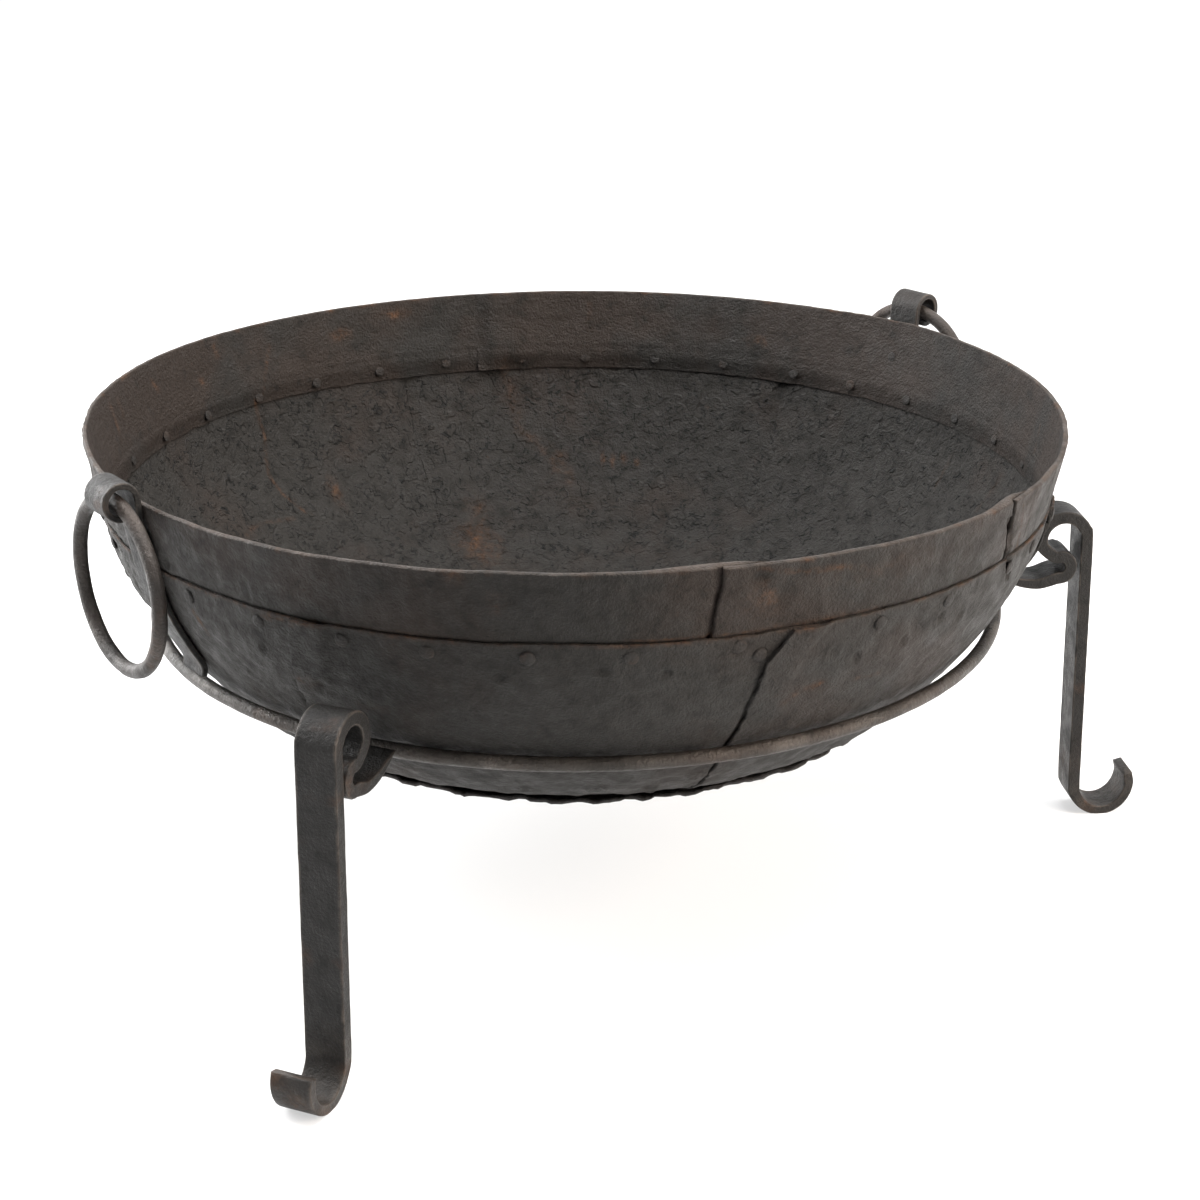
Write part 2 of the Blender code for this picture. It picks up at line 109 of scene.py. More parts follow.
# Stand, legs, lugs and handles, as in the CAD, but for the lower end of the lugs' tails.
RING_RADIUS = 0.3934
RING_WIRE = 0.00635
LEG_AZIMUTHS = {"leg_front": 246.1, "leg_right": 5.9, "leg_rear": 125.5}
LEG_WIDTH = 0.037
LEG_HALF_THICKNESS = 0.006
SCROLL_CENTRE = (0.4672, 0.2672)
SCROLL_RADIUS = 0.0112
ARCH_CENTRE = (0.47, 0.2955)
ARCH_RADIUS = 0.0225
LEG_BOTTOM_RADIUS = 0.4985
FOOT_CENTRE = (0.5275, 0.036)
FOOT_ANGLES = (180.0, 206.0, 234.0, 258.0, 282.0, 306.0, 330.0, 354.0, 376.0)
FOOT_RADII = ((180.0, 234.0, 258.0, 282.0, 306.0, 376.0), (0.029, 0.0308, 0.0318, 0.0318, 0.0308, 0.027))
FOOT_HALVES = ((180.0, 258.0, 376.0), (LEG_HALF_THICKNESS, 0.0045, 0.0045))
LUGS = {"left": (215.7, 0.4668, 0.444), "rear": (41.5, 0.4742, 0.4535)}
LUG_WIDTH = 0.036
LUG_HALF_THICKNESS = 0.00275
LUG_EYE_RADIUS = 0.01425
LUG_LIP_ANGLE = -118.0
LUG_TAIL_HEIGHTS = (0.428, 0.405, 0.383, 0.358, 0.332, 0.306, 0.29)
LUG_TAIL_TIP = ((-0.003, 0.282), (0.001, 0.2755))
HANDLE_RADIUS = 0.0738
HANDLE_WIRE = 0.0064
HANDLE_DROP = 0.0021

# Rivets, bar corners, and how finely things are meshed, in metres along the surface.
RIVET_HEAD_RADIUS = 0.0063
RIVET_INNER_RADIUS = 0.005
RIVET_SHANK_RADIUS = 0.0036
RIVET_SIDES = 18
BAR_CORNER = 0.0012
LEG_STEP = 0.0035
LUG_STEP = 0.0025
PLATE_STEP = 0.0027
EDGE_STEPS = (0.0, 0.0004, 0.001, 0.002)
EDGE_ROUNDING = 0.0012
NORMAL_WINDOW = 15

# Metres for one degree round the wall, and metres along the sloping wall for one of height.
ROUTE_ARC = math.radians(1.0) * 0.42
PLATE_ARC = math.radians(1.0) * 0.43
GRID_RADIUS = 0.44
WALL_STRETCH = 1.15

RUST_COLOURS = ((0.026, 0.015, 0.01), (0.1, 0.05, 0.026))
# Near black, for soot and for painted shade.
SOOT_AND_SHADE_COLOUR = (0.003, 0.003, 0.003)
BARE_IRON = (0.06, 0.047, 0.038)

CAMERA_DISTANCE = 2.1166
CAMERA_HEIGHT = 1.0671
CAMERA_PITCH = 21.17
CAMERA_YAW = 0.6
CAMERA_LENS = 71.3
FLOOR_REACH = 14.0
FLOOR_GLOW = 0.54
BRIGHT_SIDE = (0.32, 0.86, 0.4)
WORLD_RANGE = {"From Min": -0.65, "From Max": 0.45, "To Min": 0.12, "To Max": 1.3}
WHITE = (1.0, 1.0, 1.0)
SOFTBOXES = (  # name, place, target, size, watts, colour
    ("left_softbox", (-2.5, 1.2, 1.3), (-0.1, 0.0, 0.3), (1.8, 2.2), 165.0, WHITE),
    ("right_softbox", (2.6, -1.0, 1.3), (0.1, 0.0, 0.3), (1.6, 2.0), 135.0, (1.0, 0.88, 0.77)),
    ("overhead", (0.0, 0.0, 2.6), (0.0, 0.1, 0.3), (1.9, 1.7), 128.0, WHITE),
)


# ---- small maths

def unit(x):
    return np.clip(x, 0.0, 1.0)


def ease(x, low, high):
    """Smooth step from 0 at low to 1 at high."""
    t = unit((np.asarray(x, float) - low) / (high - low))
    return t * t * (3.0 - 2.0 * t)


def turn(azimuth):
    return (np.asarray(azimuth, float) + 180.0) % 360.0 - 180.0


def bump_at(x, middle, spread):
    return np.exp(-(((x - middle) / spread) ** 2))


def about(azimuth, middle, spread):
    """A bump across an azimuth, with its spread in degrees."""
    return bump_at(turn(azimuth - middle), 0.0, spread)


def hashed(ix, iy, iz, seed):
    """Repeatable values in -1..1 for whole-number lattice points."""
    key = (ix * 374761393 + iy * 668265263 + iz * 2147483647 + seed * 974634777) & 0xFFFFFFFF
    key = ((key ^ (key >> 13)) * 1274126177) & 0xFFFFFFFF
    key = ((key ^ (key >> 16)) * 2246822519) & 0xFFFFFFFF
    return ((key >> 8) & 0xFFFF) / 32767.5 - 1.0


def noise(points, cell, seed=0):
    """Smooth value noise in -1..1 at points of shape (..., 3), with features about one cell across."""
    scaled = np.asarray(points, float) / cell
    base = np.floor(scaled).astype(np.int64)
    part = scaled - base
    part = part * part * (3.0 - 2.0 * part)
    total = 0.0
    for corner in np.ndindex(2, 2, 2):
        wx, wy, wz = (part[..., k] if corner[k] else 1.0 - part[..., k] for k in range(3))
        total = total + wx * wy * wz * hashed(*np.moveaxis(base + corner, -1, 0), seed)
    return total


def noise_line(x, cell, seed=0):
    """Value noise along one number."""
    x = np.asarray(x, float)
    return noise(np.stack([x, np.full_like(x, 0.37), np.full_like(x, 0.71)], axis=-1) / cell, 1.0, seed)


def smooth_curve(points, spacing):
    """Points about evenly spaced along a Catmull-Rom curve through the given ones."""
    points = np.asarray(points, float)
    padded = np.vstack([2 * points[0] - points[1], points, 2 * points[-1] - points[-2]])
    dense = []
    for i in range(len(points) - 1):
        p0, p1, p2, p3 = padded[i : i + 4]
        for t in np.linspace(0.0, 1.0, 24, endpoint=False):
            square = (2 * p0 - 5 * p1 + 4 * p2 - p3) * t**2
            cube = (3 * p1 - p0 - 3 * p2 + p3) * t**3
            dense.append(0.5 * (2 * p1 + (p2 - p0) * t + square + cube))
    dense = np.array(dense + [points[-1]])
    lengths = np.concatenate([[0.0], np.cumsum(np.linalg.norm(np.diff(dense, axis=0), axis=1))])
    count = max(2, round(lengths[-1] / spacing))
    wanted = np.linspace(0.0, lengths[-1], count + 1)
    return np.stack([np.interp(wanted, lengths, dense[:, k]) for k in range(dense.shape[1])], axis=1)


def distance_to_route(azimuth, z, route):
    """Distance on the wall, in metres, to a polyline of (azimuth, height) points."""
    best = np.full(np.shape(azimuth), 9.0)
    for (a0, z0), (a1, z1) in zip(route, route[1:]):
        px = turn(azimuth - a0) * ROUTE_ARC
        pz = (z - z0) * WALL_STRETCH
        dx = float(turn(a1 - a0)) * ROUTE_ARC
        dz = (z1 - z0) * WALL_STRETCH
        along = unit((px * dx + pz * dz) / (dx * dx + dz * dz + 1e-12))
        best = np.minimum(best, np.hypot(px - along * dx, pz - along * dz))
    return best


def upright(azimuth):
    """Unit vectors outward, sideways and up at an azimuth."""
    angle = math.radians(azimuth)
    out = np.array([math.cos(angle), math.sin(angle), 0.0])
    return out, np.array([-out[1], out[0], 0.0]), np.eye(3)[2]


# ---- the bowl's shape

def wall_radius(z):
    low = np.minimum(z, FLARE_START)
    radius = ELLIPSE_RADIUS * np.sqrt(1.0 - ((ELLIPSE_TOP - low) / ELLIPSE_DEPTH) ** 2)
    return radius + FLARE_SLOPE * (z - low)


def dish_height(radius):
    radius = np.maximum(radius, DISH_FLAT_RADIUS)
    return DISH_LOW + DISH_SPHERE - np.sqrt(DISH_SPHERE**2 - radius**2)


def place(azimuth, radius, z):
    """Points of the bowl with its leaning seams, lobes, rear bulge and wavy rim; shape (..., 3)."""
    azimuth, radius, z = np.broadcast_arrays(np.asarray(azimuth, float), radius, z)
    shift = 0.0
    for seam, (heights, shifts) in SEAM_LEANS.items():
        near = 1.0 - ease(np.abs(turn(azimuth - seam)), LEAN_FULL, LEAN_END)
        shift = shift + near * np.interp(z, heights, shifts)
    azimuth = azimuth + shift
    angle = np.radians(azimuth)
    lobed = ease(z, 0.19, 0.235) * (1.0 - ease(z, 0.29, 0.355))
    radius = radius + lobed * LOBE_DEPTH * np.cos(3.0 * np.radians(azimuth - LOBE_AZIMUTH))
    near_rim = ease(z, BAND_BOTTOM, RIM_HEIGHT)
    off_bulge = turn(azimuth - REAR_BULGE_AZIMUTH) / REAR_BULGE_SPREAD
    radius = radius + REAR_BULGE * near_rim * np.exp(-(off_bulge**2))
    for count, height, peak in RIM_WAVES:
        z = z + near_rim * height * np.cos(count * np.radians(azimuth - peak))
    return np.stack([radius * np.cos(angle), radius * np.sin(angle), z], axis=-1)


class Section:
    """A plate's outer outline in the upright plane, read by distance along it from the top."""

    def __init__(self, points):
        self.points = smooth_curve(points, 0.002)
        steps = np.linalg.norm(np.diff(self.points, axis=0), axis=1)
        self.lengths = np.concatenate([[0.0], np.cumsum(steps)])
        self.length = self.lengths[-1]
        along = np.gradient(self.points, axis=0)
        along /= np.linalg.norm(along, axis=1, keepdims=True)
        raw = np.stack([-along[:, 1], along[:, 0]], axis=1)
        half = NORMAL_WINDOW // 2
        padded = np.pad(raw, ((half, half), (0, 0)), mode="edge")
        window = np.ones(NORMAL_WINDOW) / NORMAL_WINDOW
        smooth = np.stack([np.convolve(column, window, mode="valid") for column in padded.T], axis=1)
        self.normals = smooth / np.linalg.norm(smooth, axis=1, keepdims=True)

    def at(self, s):
        """Radius, height and outward normal (radius, height) at distances s."""
        return [np.interp(s, self.lengths, column) for column in (*self.points.T, *self.normals.T)]


def band_section():
    tucked = SIDE_THICKNESS - SIDE_PROUD + GAP
    points = []
    for z in (RIM_HEIGHT, 0.426, 0.412, 0.398, 0.388, 0.385, 0.382, 0.379, 0.374, 0.366, BAND_BOTTOM):
        inset = BAND_INSET + (tucked - BAND_INSET) * float(1.0 - ease(z, *TUCK_HEIGHTS))
        points.append((float(wall_radius(z)) - inset, z))
    return Section(points)


def side_section():
    heights = np.linspace(SIDE_TOP, SIDE_CURVE_END, 15)
    points = [(float(wall_radius(z)) + SIDE_PROUD, float(z)) for z in heights]
    points += [(radius, float(dish_height(radius)) + SIDE_STANDOFF) for radius in SIDE_FOOT_RADII]
    return Section(points)


def band_thickness(z):
    """Thickness that keeps the band's inner face smooth where the outer one steps in behind the sides."""
    step = SIDE_THICKNESS - SIDE_PROUD + GAP - BAND_INSET
    outside = ease(z, *TUCK_HEIGHTS)
    inside = ease(z, 0.362, 0.41)
    return BAND_THICKNESS + step * (outside - inside)


def seam_shift(seam, z):
    """Degrees by which a band seam wanders from its nominal azimuth."""
    if seam == BAND_SEAMS[1]:
        return np.interp(z, (0.385, 0.405, 0.422), (-0.4, -0.3, 0.0))
    return 0.0 * z


def over_ramp(past):
    return np.where(past < 0.0, 0.0, 1.0 - ease(past, LAP, LAP + RAMP))


def under_ramp(past, ramp=RAMP):
    return np.where(past > LAP + 0.01, 0.0, ease(past, -ramp, 0.0))


def graded(start, end, step, scale=1.0):
    """Positions from start to end, closer together at both ends; scale turns metres into their unit."""
    edges = np.array(EDGE_STEPS) * scale
    count = max(1, round((end - start - 2 * edges[-1]) / (step * scale)))
    middle = np.linspace(start + edges[-1], end - edges[-1], count + 1)
    return np.concatenate([start + edges[:-1], middle, end - edges[-2::-1]])


# ---- meshes

def add_object(name, data):
    made = bpy.data.objects.new(name, data)
    bpy.context.scene.collection.objects.link(made)
    return made


def mesh_object(name, material, points, faces, masks):
    """A smooth-shaded object from arrays, with one number per point for each mask.

    The clip to the CAD box moves 147 points by under 1 mm: under the three feet, on band_1 and on strap_rear.
    """
    points = np.clip(points, *CAD_BOX)
    mesh = bpy.data.meshes.new(name)
    mesh.from_pydata(points.tolist(), [], faces.tolist() if hasattr(faces, "tolist") else faces)
    for mask, values in masks.items():
        attribute = mesh.attributes.new(mask, "FLOAT", "POINT")
        attribute.data.foreach_set("value", np.ascontiguousarray(values, np.float32).ravel())
    mesh.shade_smooth()
    mesh.materials.append(material)
    return add_object(name, mesh)


def closed_sheet(outer, inner):
    """Points and faces of a plate whose outer and inner grids (C, R, 3) share their edge points."""
    columns, rows = outer.shape[:2]
    outer_index = np.arange(columns * rows).reshape(columns, rows)
    inner_index = outer_index.copy()
    own = (columns - 2) * (rows - 2)
    inner_index[1:-1, 1:-1] = columns * rows + np.arange(own).reshape(columns - 2, rows - 2)
    points = np.concatenate([outer.reshape(-1, 3), inner[1:-1, 1:-1].reshape(-1, 3)])

    def quads(index):
        corners = index[:-1, :-1], index[:-1, 1:], index[1:, 1:], index[1:, :-1]
        return np.stack(corners, axis=-1).reshape(-1, 4)

    return points, np.concatenate([quads(outer_index), quads(inner_index)[:, ::-1]])


def sheet_values(outer, inner):
    return np.concatenate([outer.ravel(), inner[1:-1, 1:-1].ravel()])


def without_soot_or_shade(rust, wear):
    """Masks of a piece with no soot or painted shade and nothing of it inside the bowl."""
    zeros = np.zeros(len(rust))
    return {"rust": rust, "wear": wear, "soot_and_shade": zeros, "inside": zeros}


def tube_faces(rings, sides, wrap):
    """Faces between rings of points; ends are closed by one face each unless the tube wraps round."""
    index = np.arange(rings * sides).reshape(rings, sides)
    following = np.roll(index, -1, axis=0) if wrap else index[1:]
    first = index if wrap else index[:-1]
    quads = np.stack([first, np.roll(first, -1, axis=1), np.roll(following, -1, axis=1), following], axis=-1)
    faces = quads.reshape(-1, 4).tolist()
    if not wrap:
        faces.append(index[0][::-1].tolist())
        faces.append(index[-1].tolist())
    return faces


# ---- hammer work and rust on the bowl

def dents(points):
    """Broad unevenness shared by everything on the bowl, in metres along the normal."""
    return 0.001 * noise(points, 0.055, 1) + 0.0006 * noise(points, 0.024, 2)


# Azimuth, height, width in degrees and height in metres of hammer marks, then of round dents.
HAMMER_MARKS = (
    (229.3, 0.4005, 0.9, 0.01), (231.6, 0.3965, 0.6, 0.008), (233.0, 0.3965, 0.6, 0.008),
    (244.8, 0.4, 0.9, 0.009), (252.4, 0.405, 0.8, 0.01), (288.9, 0.406, 0.9, 0.012),
    (292.6, 0.394, 0.8, 0.008), (226.0, 0.416, 0.7, 0.009),
)
LAP_DENTS = (
    (285.4, 0.368, 0.9, 0.006), (279.2, 0.352, 0.6, 0.005), (262.0, 0.349, 0.8, 0.005),
    (272.4, 0.356, 0.9, 0.004), (298.2, 0.349, 0.7, 0.006), (301.5, 0.338, 0.6, 0.007),
    (308.0, 0.342, 0.6, 0.006), (313.5, 0.352, 0.6, 0.006), (317.0, 0.344, 0.6, 0.006),
    (219.9, 0.391, 0.8, 0.007), (241.5, 0.317, 0.8, 0.008), (234.0, 0.341, 0.5, 0.006),
)
# Routes of crusty seams, with their width and height in metres.
ROUGH_SEAMS = (
    (((292.9, 0.381), (291.4, 0.368), (289.9, 0.353), (288.8, 0.3), (288.2, 0.262)), 0.0065, 0.0017),
    (((239.0, 0.378), (238.2, 0.345), (237.0, 0.3)), 0.006, 0.0009),
    (((284.6, 0.432), (282.9, 0.385)), 0.0035, 0.0008),
    (((296.0, 0.3815), (306.0, 0.3815), (322.0, 0.3815)), 0.005, 0.0012),
    (((262.0, 0.356), (268.0, 0.35), (274.0, 0.3515), (282.0, 0.357)), 0.0035, 0.0012),
)
# Azimuth, height and size of the flattened rivets low on the side plates.
SIDE_LUMPS = (
    (272.7, 0.212, 0.008), (281.4, 0.203, 0.008),
    (288.2, 0.223, 0.007), (262.5, 0.209, 0.006),
)


def outside_work(points, azimuth, z):
    """Fine relief on the outside of the plates."""
    seams = 0.0
    for route, wide, height in ROUGH_SEAMS:
        near = bump_at(distance_to_route(azimuth, z, route), 0.0, wide)
        seams += height * near * np.abs(noise(points, 0.0058, 26))
    lumps = 0.0
    for middle, height, size in SIDE_LUMPS:
        away = np.hypot(turn(azimuth - middle) * math.radians(0.34), (z - height) * 1.6) / size
        lumps += 0.0026 * bump_at(away, 0.95, 0.33) * (0.7 + 0.5 * noise(points, 0.007, 27))
        lumps += 0.0022 * bump_at(away, 0.0, 0.45)
    low_edge = ease(-z, -0.215, -0.195)
    relief = seams + lumps + 0.00034 * noise(points, 0.0085, 11) + 0.00028 * noise(points, 0.0048, 12)
    relief += 0.0007 * low_edge * noise(points, 0.01, 28)
    side = 1.0 - ease(z, 0.376, 0.384)
    relief += side * 0.0003 * noise(points, 0.013, 17)
    ribs = ease(z, 0.384, 0.396) * (1.0 - ease(z, 0.416, 0.434)) * about(azimuth, 271.0, 8.5)
    relief += 0.00085 * ribs * noise_line(azimuth + 18.0 * z, 0.75, 13)
    for middle, height, wide, tall in HAMMER_MARKS:
        mark = about(azimuth, middle, wide) * bump_at(z, height, tall)
        edge = turn(azimuth - middle) / wide
        relief += 0.0019 * mark * edge
    for middle, height, wide, tall in LAP_DENTS:
        away = np.hypot(turn(azimuth - middle) / wide, (z - height) / tall)
        relief -= 0.0018 * bump_at(away, 0.0, 0.8)
        relief += 0.0008 * bump_at(away, 1.35, 0.4)
    right = turn(azimuth - 285.6) / 1.5
    up = (z - 0.429) / 0.01
    relief -= 0.003 * unit(1.0 - np.abs(right) - np.abs(up))
    relief += 0.0012 * bump_at(right, -1.1, 0.3) * bump_at(up, 0.0, 1.2)
    corroded = 1.0 - ease(np.abs(turn(azimuth - 196.0)), 14.0, 24.0)
    relief += corroded * (0.0011 * noise(points, 0.0075, 14) + 0.0005 * noise(points, 0.0045, 18) - 0.0006)
    left = about(azimuth, 226.0, 9.0) * side
    relief += 0.0005 * left * noise(points, 0.006, 19)
    gouge = distance_to_route(azimuth, z, ((226.2, 0.332), (229.5, 0.306), (234.0, 0.285)))
    relief -= 0.0014 * bump_at(gouge, 0.0, 0.003) * (0.5 + 0.6 * np.abs(noise(points, 0.007, 15)))
    rough = about(azimuth, 277.0, 5.5) * bump_at(z, 0.354, 0.008)
    ridge = bump_at(z, 0.353, 0.0025) * ease(turn(azimuth - 258.0), 0.0, 10.0)
    ridge *= 1.0 - ease(turn(azimuth - 285.0), 0.0, 8.0)
    relief += 0.001 * rough * np.abs(noise(points, 0.0055, 16))
    relief += 0.0006 * ridge * noise_line(azimuth, 1.1, 20)
    lumpy = ease(turn(azimuth - 291.0), 0.0, 3.0) * (1.0 - ease(turn(azimuth - 326.0), 0.0, 8.0)) * side
    relief += 0.00045 * lumpy * noise(points, 0.0095, 23)
    torn = distance_to_route(azimuth, z, ((323.6, 0.424), (325.0, 0.395), (326.7, 0.356)))
    relief -= 0.0026 * bump_at(torn, 0.0, 0.003)
    relief += 0.0022 * bump_at(torn, 0.0055, 0.0028) * np.abs(noise(points, 0.006, 24))
    # Flattened where the bowl sits in the stand's ring, so the plates stay clear of it.
    seat = bump_at(z, RING_HEIGHT + 0.003, 0.012)
    return relief - seat * (np.maximum(relief, 0.0) + 0.0007)


def inside_work(points, azimuth, z):
    """Fine relief on the inside of the plates: flaking scale low down, smoother on the band."""
    flaky = 1.0 - ease(z, 0.35, 0.372)
    relief = (0.0001 + 0.00018 * flaky) * noise(points, 0.008, 21)
    crust = about(azimuth, 72.0, 12.0) * bump_at(z, 0.335, 0.022)
    relief = relief + 0.0005 * crust * noise(points, 0.006, 25)
    return relief + 0.00024 * flaky * noise(points, 0.0046, 22)


INSIDE_RUST_ROUTES = (
    (((141.0, 0.367), (140.7, 0.326), (142.4, 0.293), (141.7, 0.273), (139.3, 0.251)), 0.0016, 1.0),
    (((153.0, 0.251), (150.5, 0.256), (146.6, 0.253), (141.8, 0.249)), 0.0018, 0.55),
    (((101.2, 0.366), (99.7, 0.336), (98.9, 0.295), (96.7, 0.28), (92.7, 0.265), (91.1, 0.247)), 0.006, 0.45),
    (((88.0, 0.428), (88.0, 0.398)), 0.0016, 0.6),
    (((161.1, 0.42), (160.1, 0.411)), 0.0022, 0.8),
    (((150.4, 0.404), (150.0, 0.397)), 0.003, 0.7),
    (((136.6, 0.418), (138.5, 0.39), (139.6, 0.37)), 0.001, 0.7),
    (((146.6, 0.43), (146.4, 0.42)), 0.003, 0.7),
    (((174.5, 0.428), (173.8, 0.4)), 0.0022, 0.7),
    (((171.5, 0.425), (171.0, 0.408)), 0.0018, 0.6),
    (((3.5, 0.41), (2.8, 0.385)), 0.0016, 0.7),
    (((25.4, 0.334), (26.4, 0.297)), 0.0014, 0.5),
    (((12.0, 0.345), (14.5, 0.3)), 0.0012, 0.4),
)
INSIDE_RUST_PATCHES = (
    (109.6, 0.195, 4.0, 0.015, 0.75),
    (125.0, 0.413, 1.4, 0.006, 0.8),
    (116.2, 0.427, 2.0, 0.005, 0.8),
    (63.2, 0.396, 1.6, 0.006, 0.7),
    (85.6, 0.265, 0.35, 0.005, 1.0),
    (84.0, 0.263, 0.35, 0.005, 1.0),
    (82.1, 0.266, 0.45, 0.004, 1.0),
    (79.9, 0.263, 0.35, 0.003, 0.9),
    (93.0, 0.262, 1.6, 0.01, 0.6),
    (132.0, 0.262, 1.2, 0.014, 0.5),
    (108.0, 0.222, 2.0, 0.012, 0.5),
)
OUTSIDE_RUST_ROUTES = (
    (((223.2, 0.352), (224.3, 0.335)), 0.003, 0.9),
    (((233.0, 0.374), (238.8, 0.376)), 0.0022, 0.8),
    (((275.0, 0.3815), (284.0, 0.382), (292.0, 0.3835), (303.0, 0.3815)), 0.0018, 0.9),
    (((240.0, 0.38), (256.0, 0.381), (258.0, 0.381)), 0.0014, 0.5),
    (((326.6, 0.431), (328.0, 0.395), (328.2, 0.376)), 0.0016, 0.9),
    (((294.4, 0.306), (295.9, 0.315), (298.0, 0.318)), 0.003, 0.9),
    (((302.8, 0.314), (306.5, 0.312)), 0.0018, 0.7),
    (((285.6, 0.436), (290.5, 0.43), (296.0, 0.427)), 0.0026, 0.9),
)
OUTSIDE_RUST_PATCHES = (
    (286.6, 0.41, 1.6, 0.014, 0.6),
    (262.2, 0.414, 0.9, 0.008, 0.7),
    (258.2, 0.434, 0.9, 0.004, 0.6),
    (239.4, 0.318, 1.2, 0.006, 0.7),
    (247.0, 0.3, 1.2, 0.006, 0.5),
    (300.0, 0.42, 8.0, 0.012, 0.25),
)


def rust_mask(points, azimuth, z, routes, patches):
    """How rusty each point is, 0..1, from scratches, runs and patches broken up by noise."""
    rust = np.zeros(np.shape(azimuth))
    wander = 0.0012 * noise(points, 0.009, 31)
    for route, width, strength in routes:
        away = distance_to_route(azimuth, z + wander, route)
        broken = 0.75 + 0.45 * noise(points, 0.007, 32)
        rust = np.maximum(rust, strength * bump_at(away, 0.0, width) * broken)
    for middle, height, spread, tall, strength in patches:
        blot = about(azimuth, middle, spread) * bump_at(z, height, tall)
        rust = np.maximum(rust, strength * blot * (0.8 + 0.7 * noise(points, 0.008, 33)))
    return unit(rust)


# ---- plates

SOOT_SPOTS = ((48.6, 0.402, 0.005), (117.9, 0.289, 0.005), (97.6, 0.362, 0.006), (150.0, 0.372, 0.0045))


def finish_plate(name, node, material, azimuth, s, section, thickness, lift, inner_lift, is_band):
    """Builds a plate from its grid of azimuths and distances down the section (both (C, R))."""
    radius, z, out_r, out_z = section.at(s)
    base = place(azimuth, radius, z)
    shared = dents(base) + lift
    to_start = (azimuth - azimuth[:1]) * PLATE_ARC
    to_end = (azimuth[-1:] - azimuth) * PLATE_ARC
    to_side = np.minimum(s - s[:, :1], s[:, -1:] - s)
    edge = unit(np.minimum(np.minimum(to_start, to_end), to_side) / EDGE_ROUNDING)
    full = np.sqrt(1.0 - (1.0 - edge) ** 2)
    feathered = 1.0 - 0.92 * (1.0 - ease(to_end, 0.0, 0.02))
    if is_band:
        feathered = feathered * (1.0 - 0.78 * (1.0 - ease(s[:, -1:] - s, 0.0, 0.018)))
    inner_depth = (thickness + lift - inner_lift) * feathered
    rim_edge = inner_depth / 2.0
    outside = shared - rim_edge * (1.0 - full) + full * outside_work(base, azimuth, z)
    inside = shared - rim_edge * (1.0 + full) + full * inside_work(base, azimuth, z)
    outer = place(azimuth, radius + out_r * outside, z + out_z * outside) + AXIS
    inner = place(azimuth, radius + out_r * inside, z + out_z * inside) + AXIS
    points, faces = closed_sheet(outer, inner)
    rust_out = rust_mask(base, azimuth, z, OUTSIDE_RUST_ROUTES, OUTSIDE_RUST_PATCHES)
    rust_in = rust_mask(base, azimuth, z, INSIDE_RUST_ROUTES, INSIDE_RUST_PATCHES)
    uneven = unit(0.65 + 0.7 * noise(base, 0.012, 34))
    flank = 1.0 - ease(np.abs(turn(azimuth - 192.0)), 6.0, 18.0)
    pitted = flank * np.clip(1.2 * noise(base, 0.0055, 38) - 0.25, 0.0, 0.35)
    if is_band:
        wear = uneven * (1.0 - ease(s, 0.0004, 0.0016))
        rim_rust = 0.8 * (1.0 - ease(s, 0.001, 0.004)) * unit(1.6 * noise(base, 0.011, 36) - 0.35)
        rust_out = np.maximum(rust_out, rim_rust)
        rust_in = np.maximum(rust_in, rim_rust)
        # Painted shade: a thin dark line on the band's outside just above the side plates' top edge, in the
        # groove of the lap.
        outside_shade = 0.25 * bump_at(z, SIDE_TOP + 0.001, 0.0012)
    else:
        wear = uneven * (0.35 * (1.0 - ease(to_side, 0.0004, 0.0026)))
        edge_rust = 0.9 * bump_at(s, 0.0, 0.0022) * unit(0.6 + noise(base, 0.016, 35))
        rust_out = np.maximum(rust_out, edge_rust)
        # Painted shade: a thin dark line along the plate's starting upright edge, in its lap seam.
        outside_shade = 0.15 * bump_at(to_start, 0.0, 0.0012)
    # Painted shade: the front of the bowl's outside, around azimuth 256, is darkened; it joins the seam lines
    # in one mask.
    front_painted_shade = 0.4 * about(azimuth, 256.0, 24.0) * (0.85 + 0.5 * noise(base, 0.03, 37))
    outside_shade = unit(np.maximum(outside_shade, front_painted_shade))
    # Painted shade inside: a thin dark line just below the band's lower edge and a soft dark zone below its
    # inward bend. The spots added next are real soot.
    inner_shade_and_soot = 0.1 * bump_at(z, BAND_BOTTOM - 0.002, 0.0014) + 0.08 * bump_at(z, 0.371, 0.011)
    for middle, height, size in SOOT_SPOTS:
        away = np.hypot(turn(azimuth - middle) * PLATE_ARC, z - height) / size
        inner_shade_and_soot = np.maximum(inner_shade_and_soot, 0.9 * bump_at(away, 0.0, 1.0))
    masks = {
        "rust": sheet_values(rust_out, rust_in),
        "wear": sheet_values(np.maximum(wear, pitted), wear),
        "soot_and_shade": sheet_values(outside_shade, inner_shade_and_soot),
        "inside": sheet_values(np.zeros_like(z), 1.0 - ease(z, 0.352, 0.366)),
    }
    piece = mesh_object(name, material, points, faces, masks)
    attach(piece, "bowl")
    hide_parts(node)


def plate_grid(start, end, section):
    metres_to_degrees = math.degrees(1.0) / GRID_RADIUS
    columns = graded(start, end, PLATE_STEP, metres_to_degrees)
    rows = graded(0.0, section.length, PLATE_STEP)
    return np.meshgrid(columns, rows, indexing="ij")


def rag_ends(azimuth, s, start_depth, end_depth):
    """Wavers the two upright edges of a plate; depths in degrees."""
    fade_start = bump_at(azimuth, azimuth[0, 0], 1.2)
    fade_end = bump_at(azimuth, azimuth[-1, 0], 1.2)
    ragged = 0.5 * noise_line(s, 0.017, 41) + 0.5 * noise_line(s, 0.0065, 42)
    return azimuth + start_depth * fade_start * ragged + end_depth * fade_end * ragged


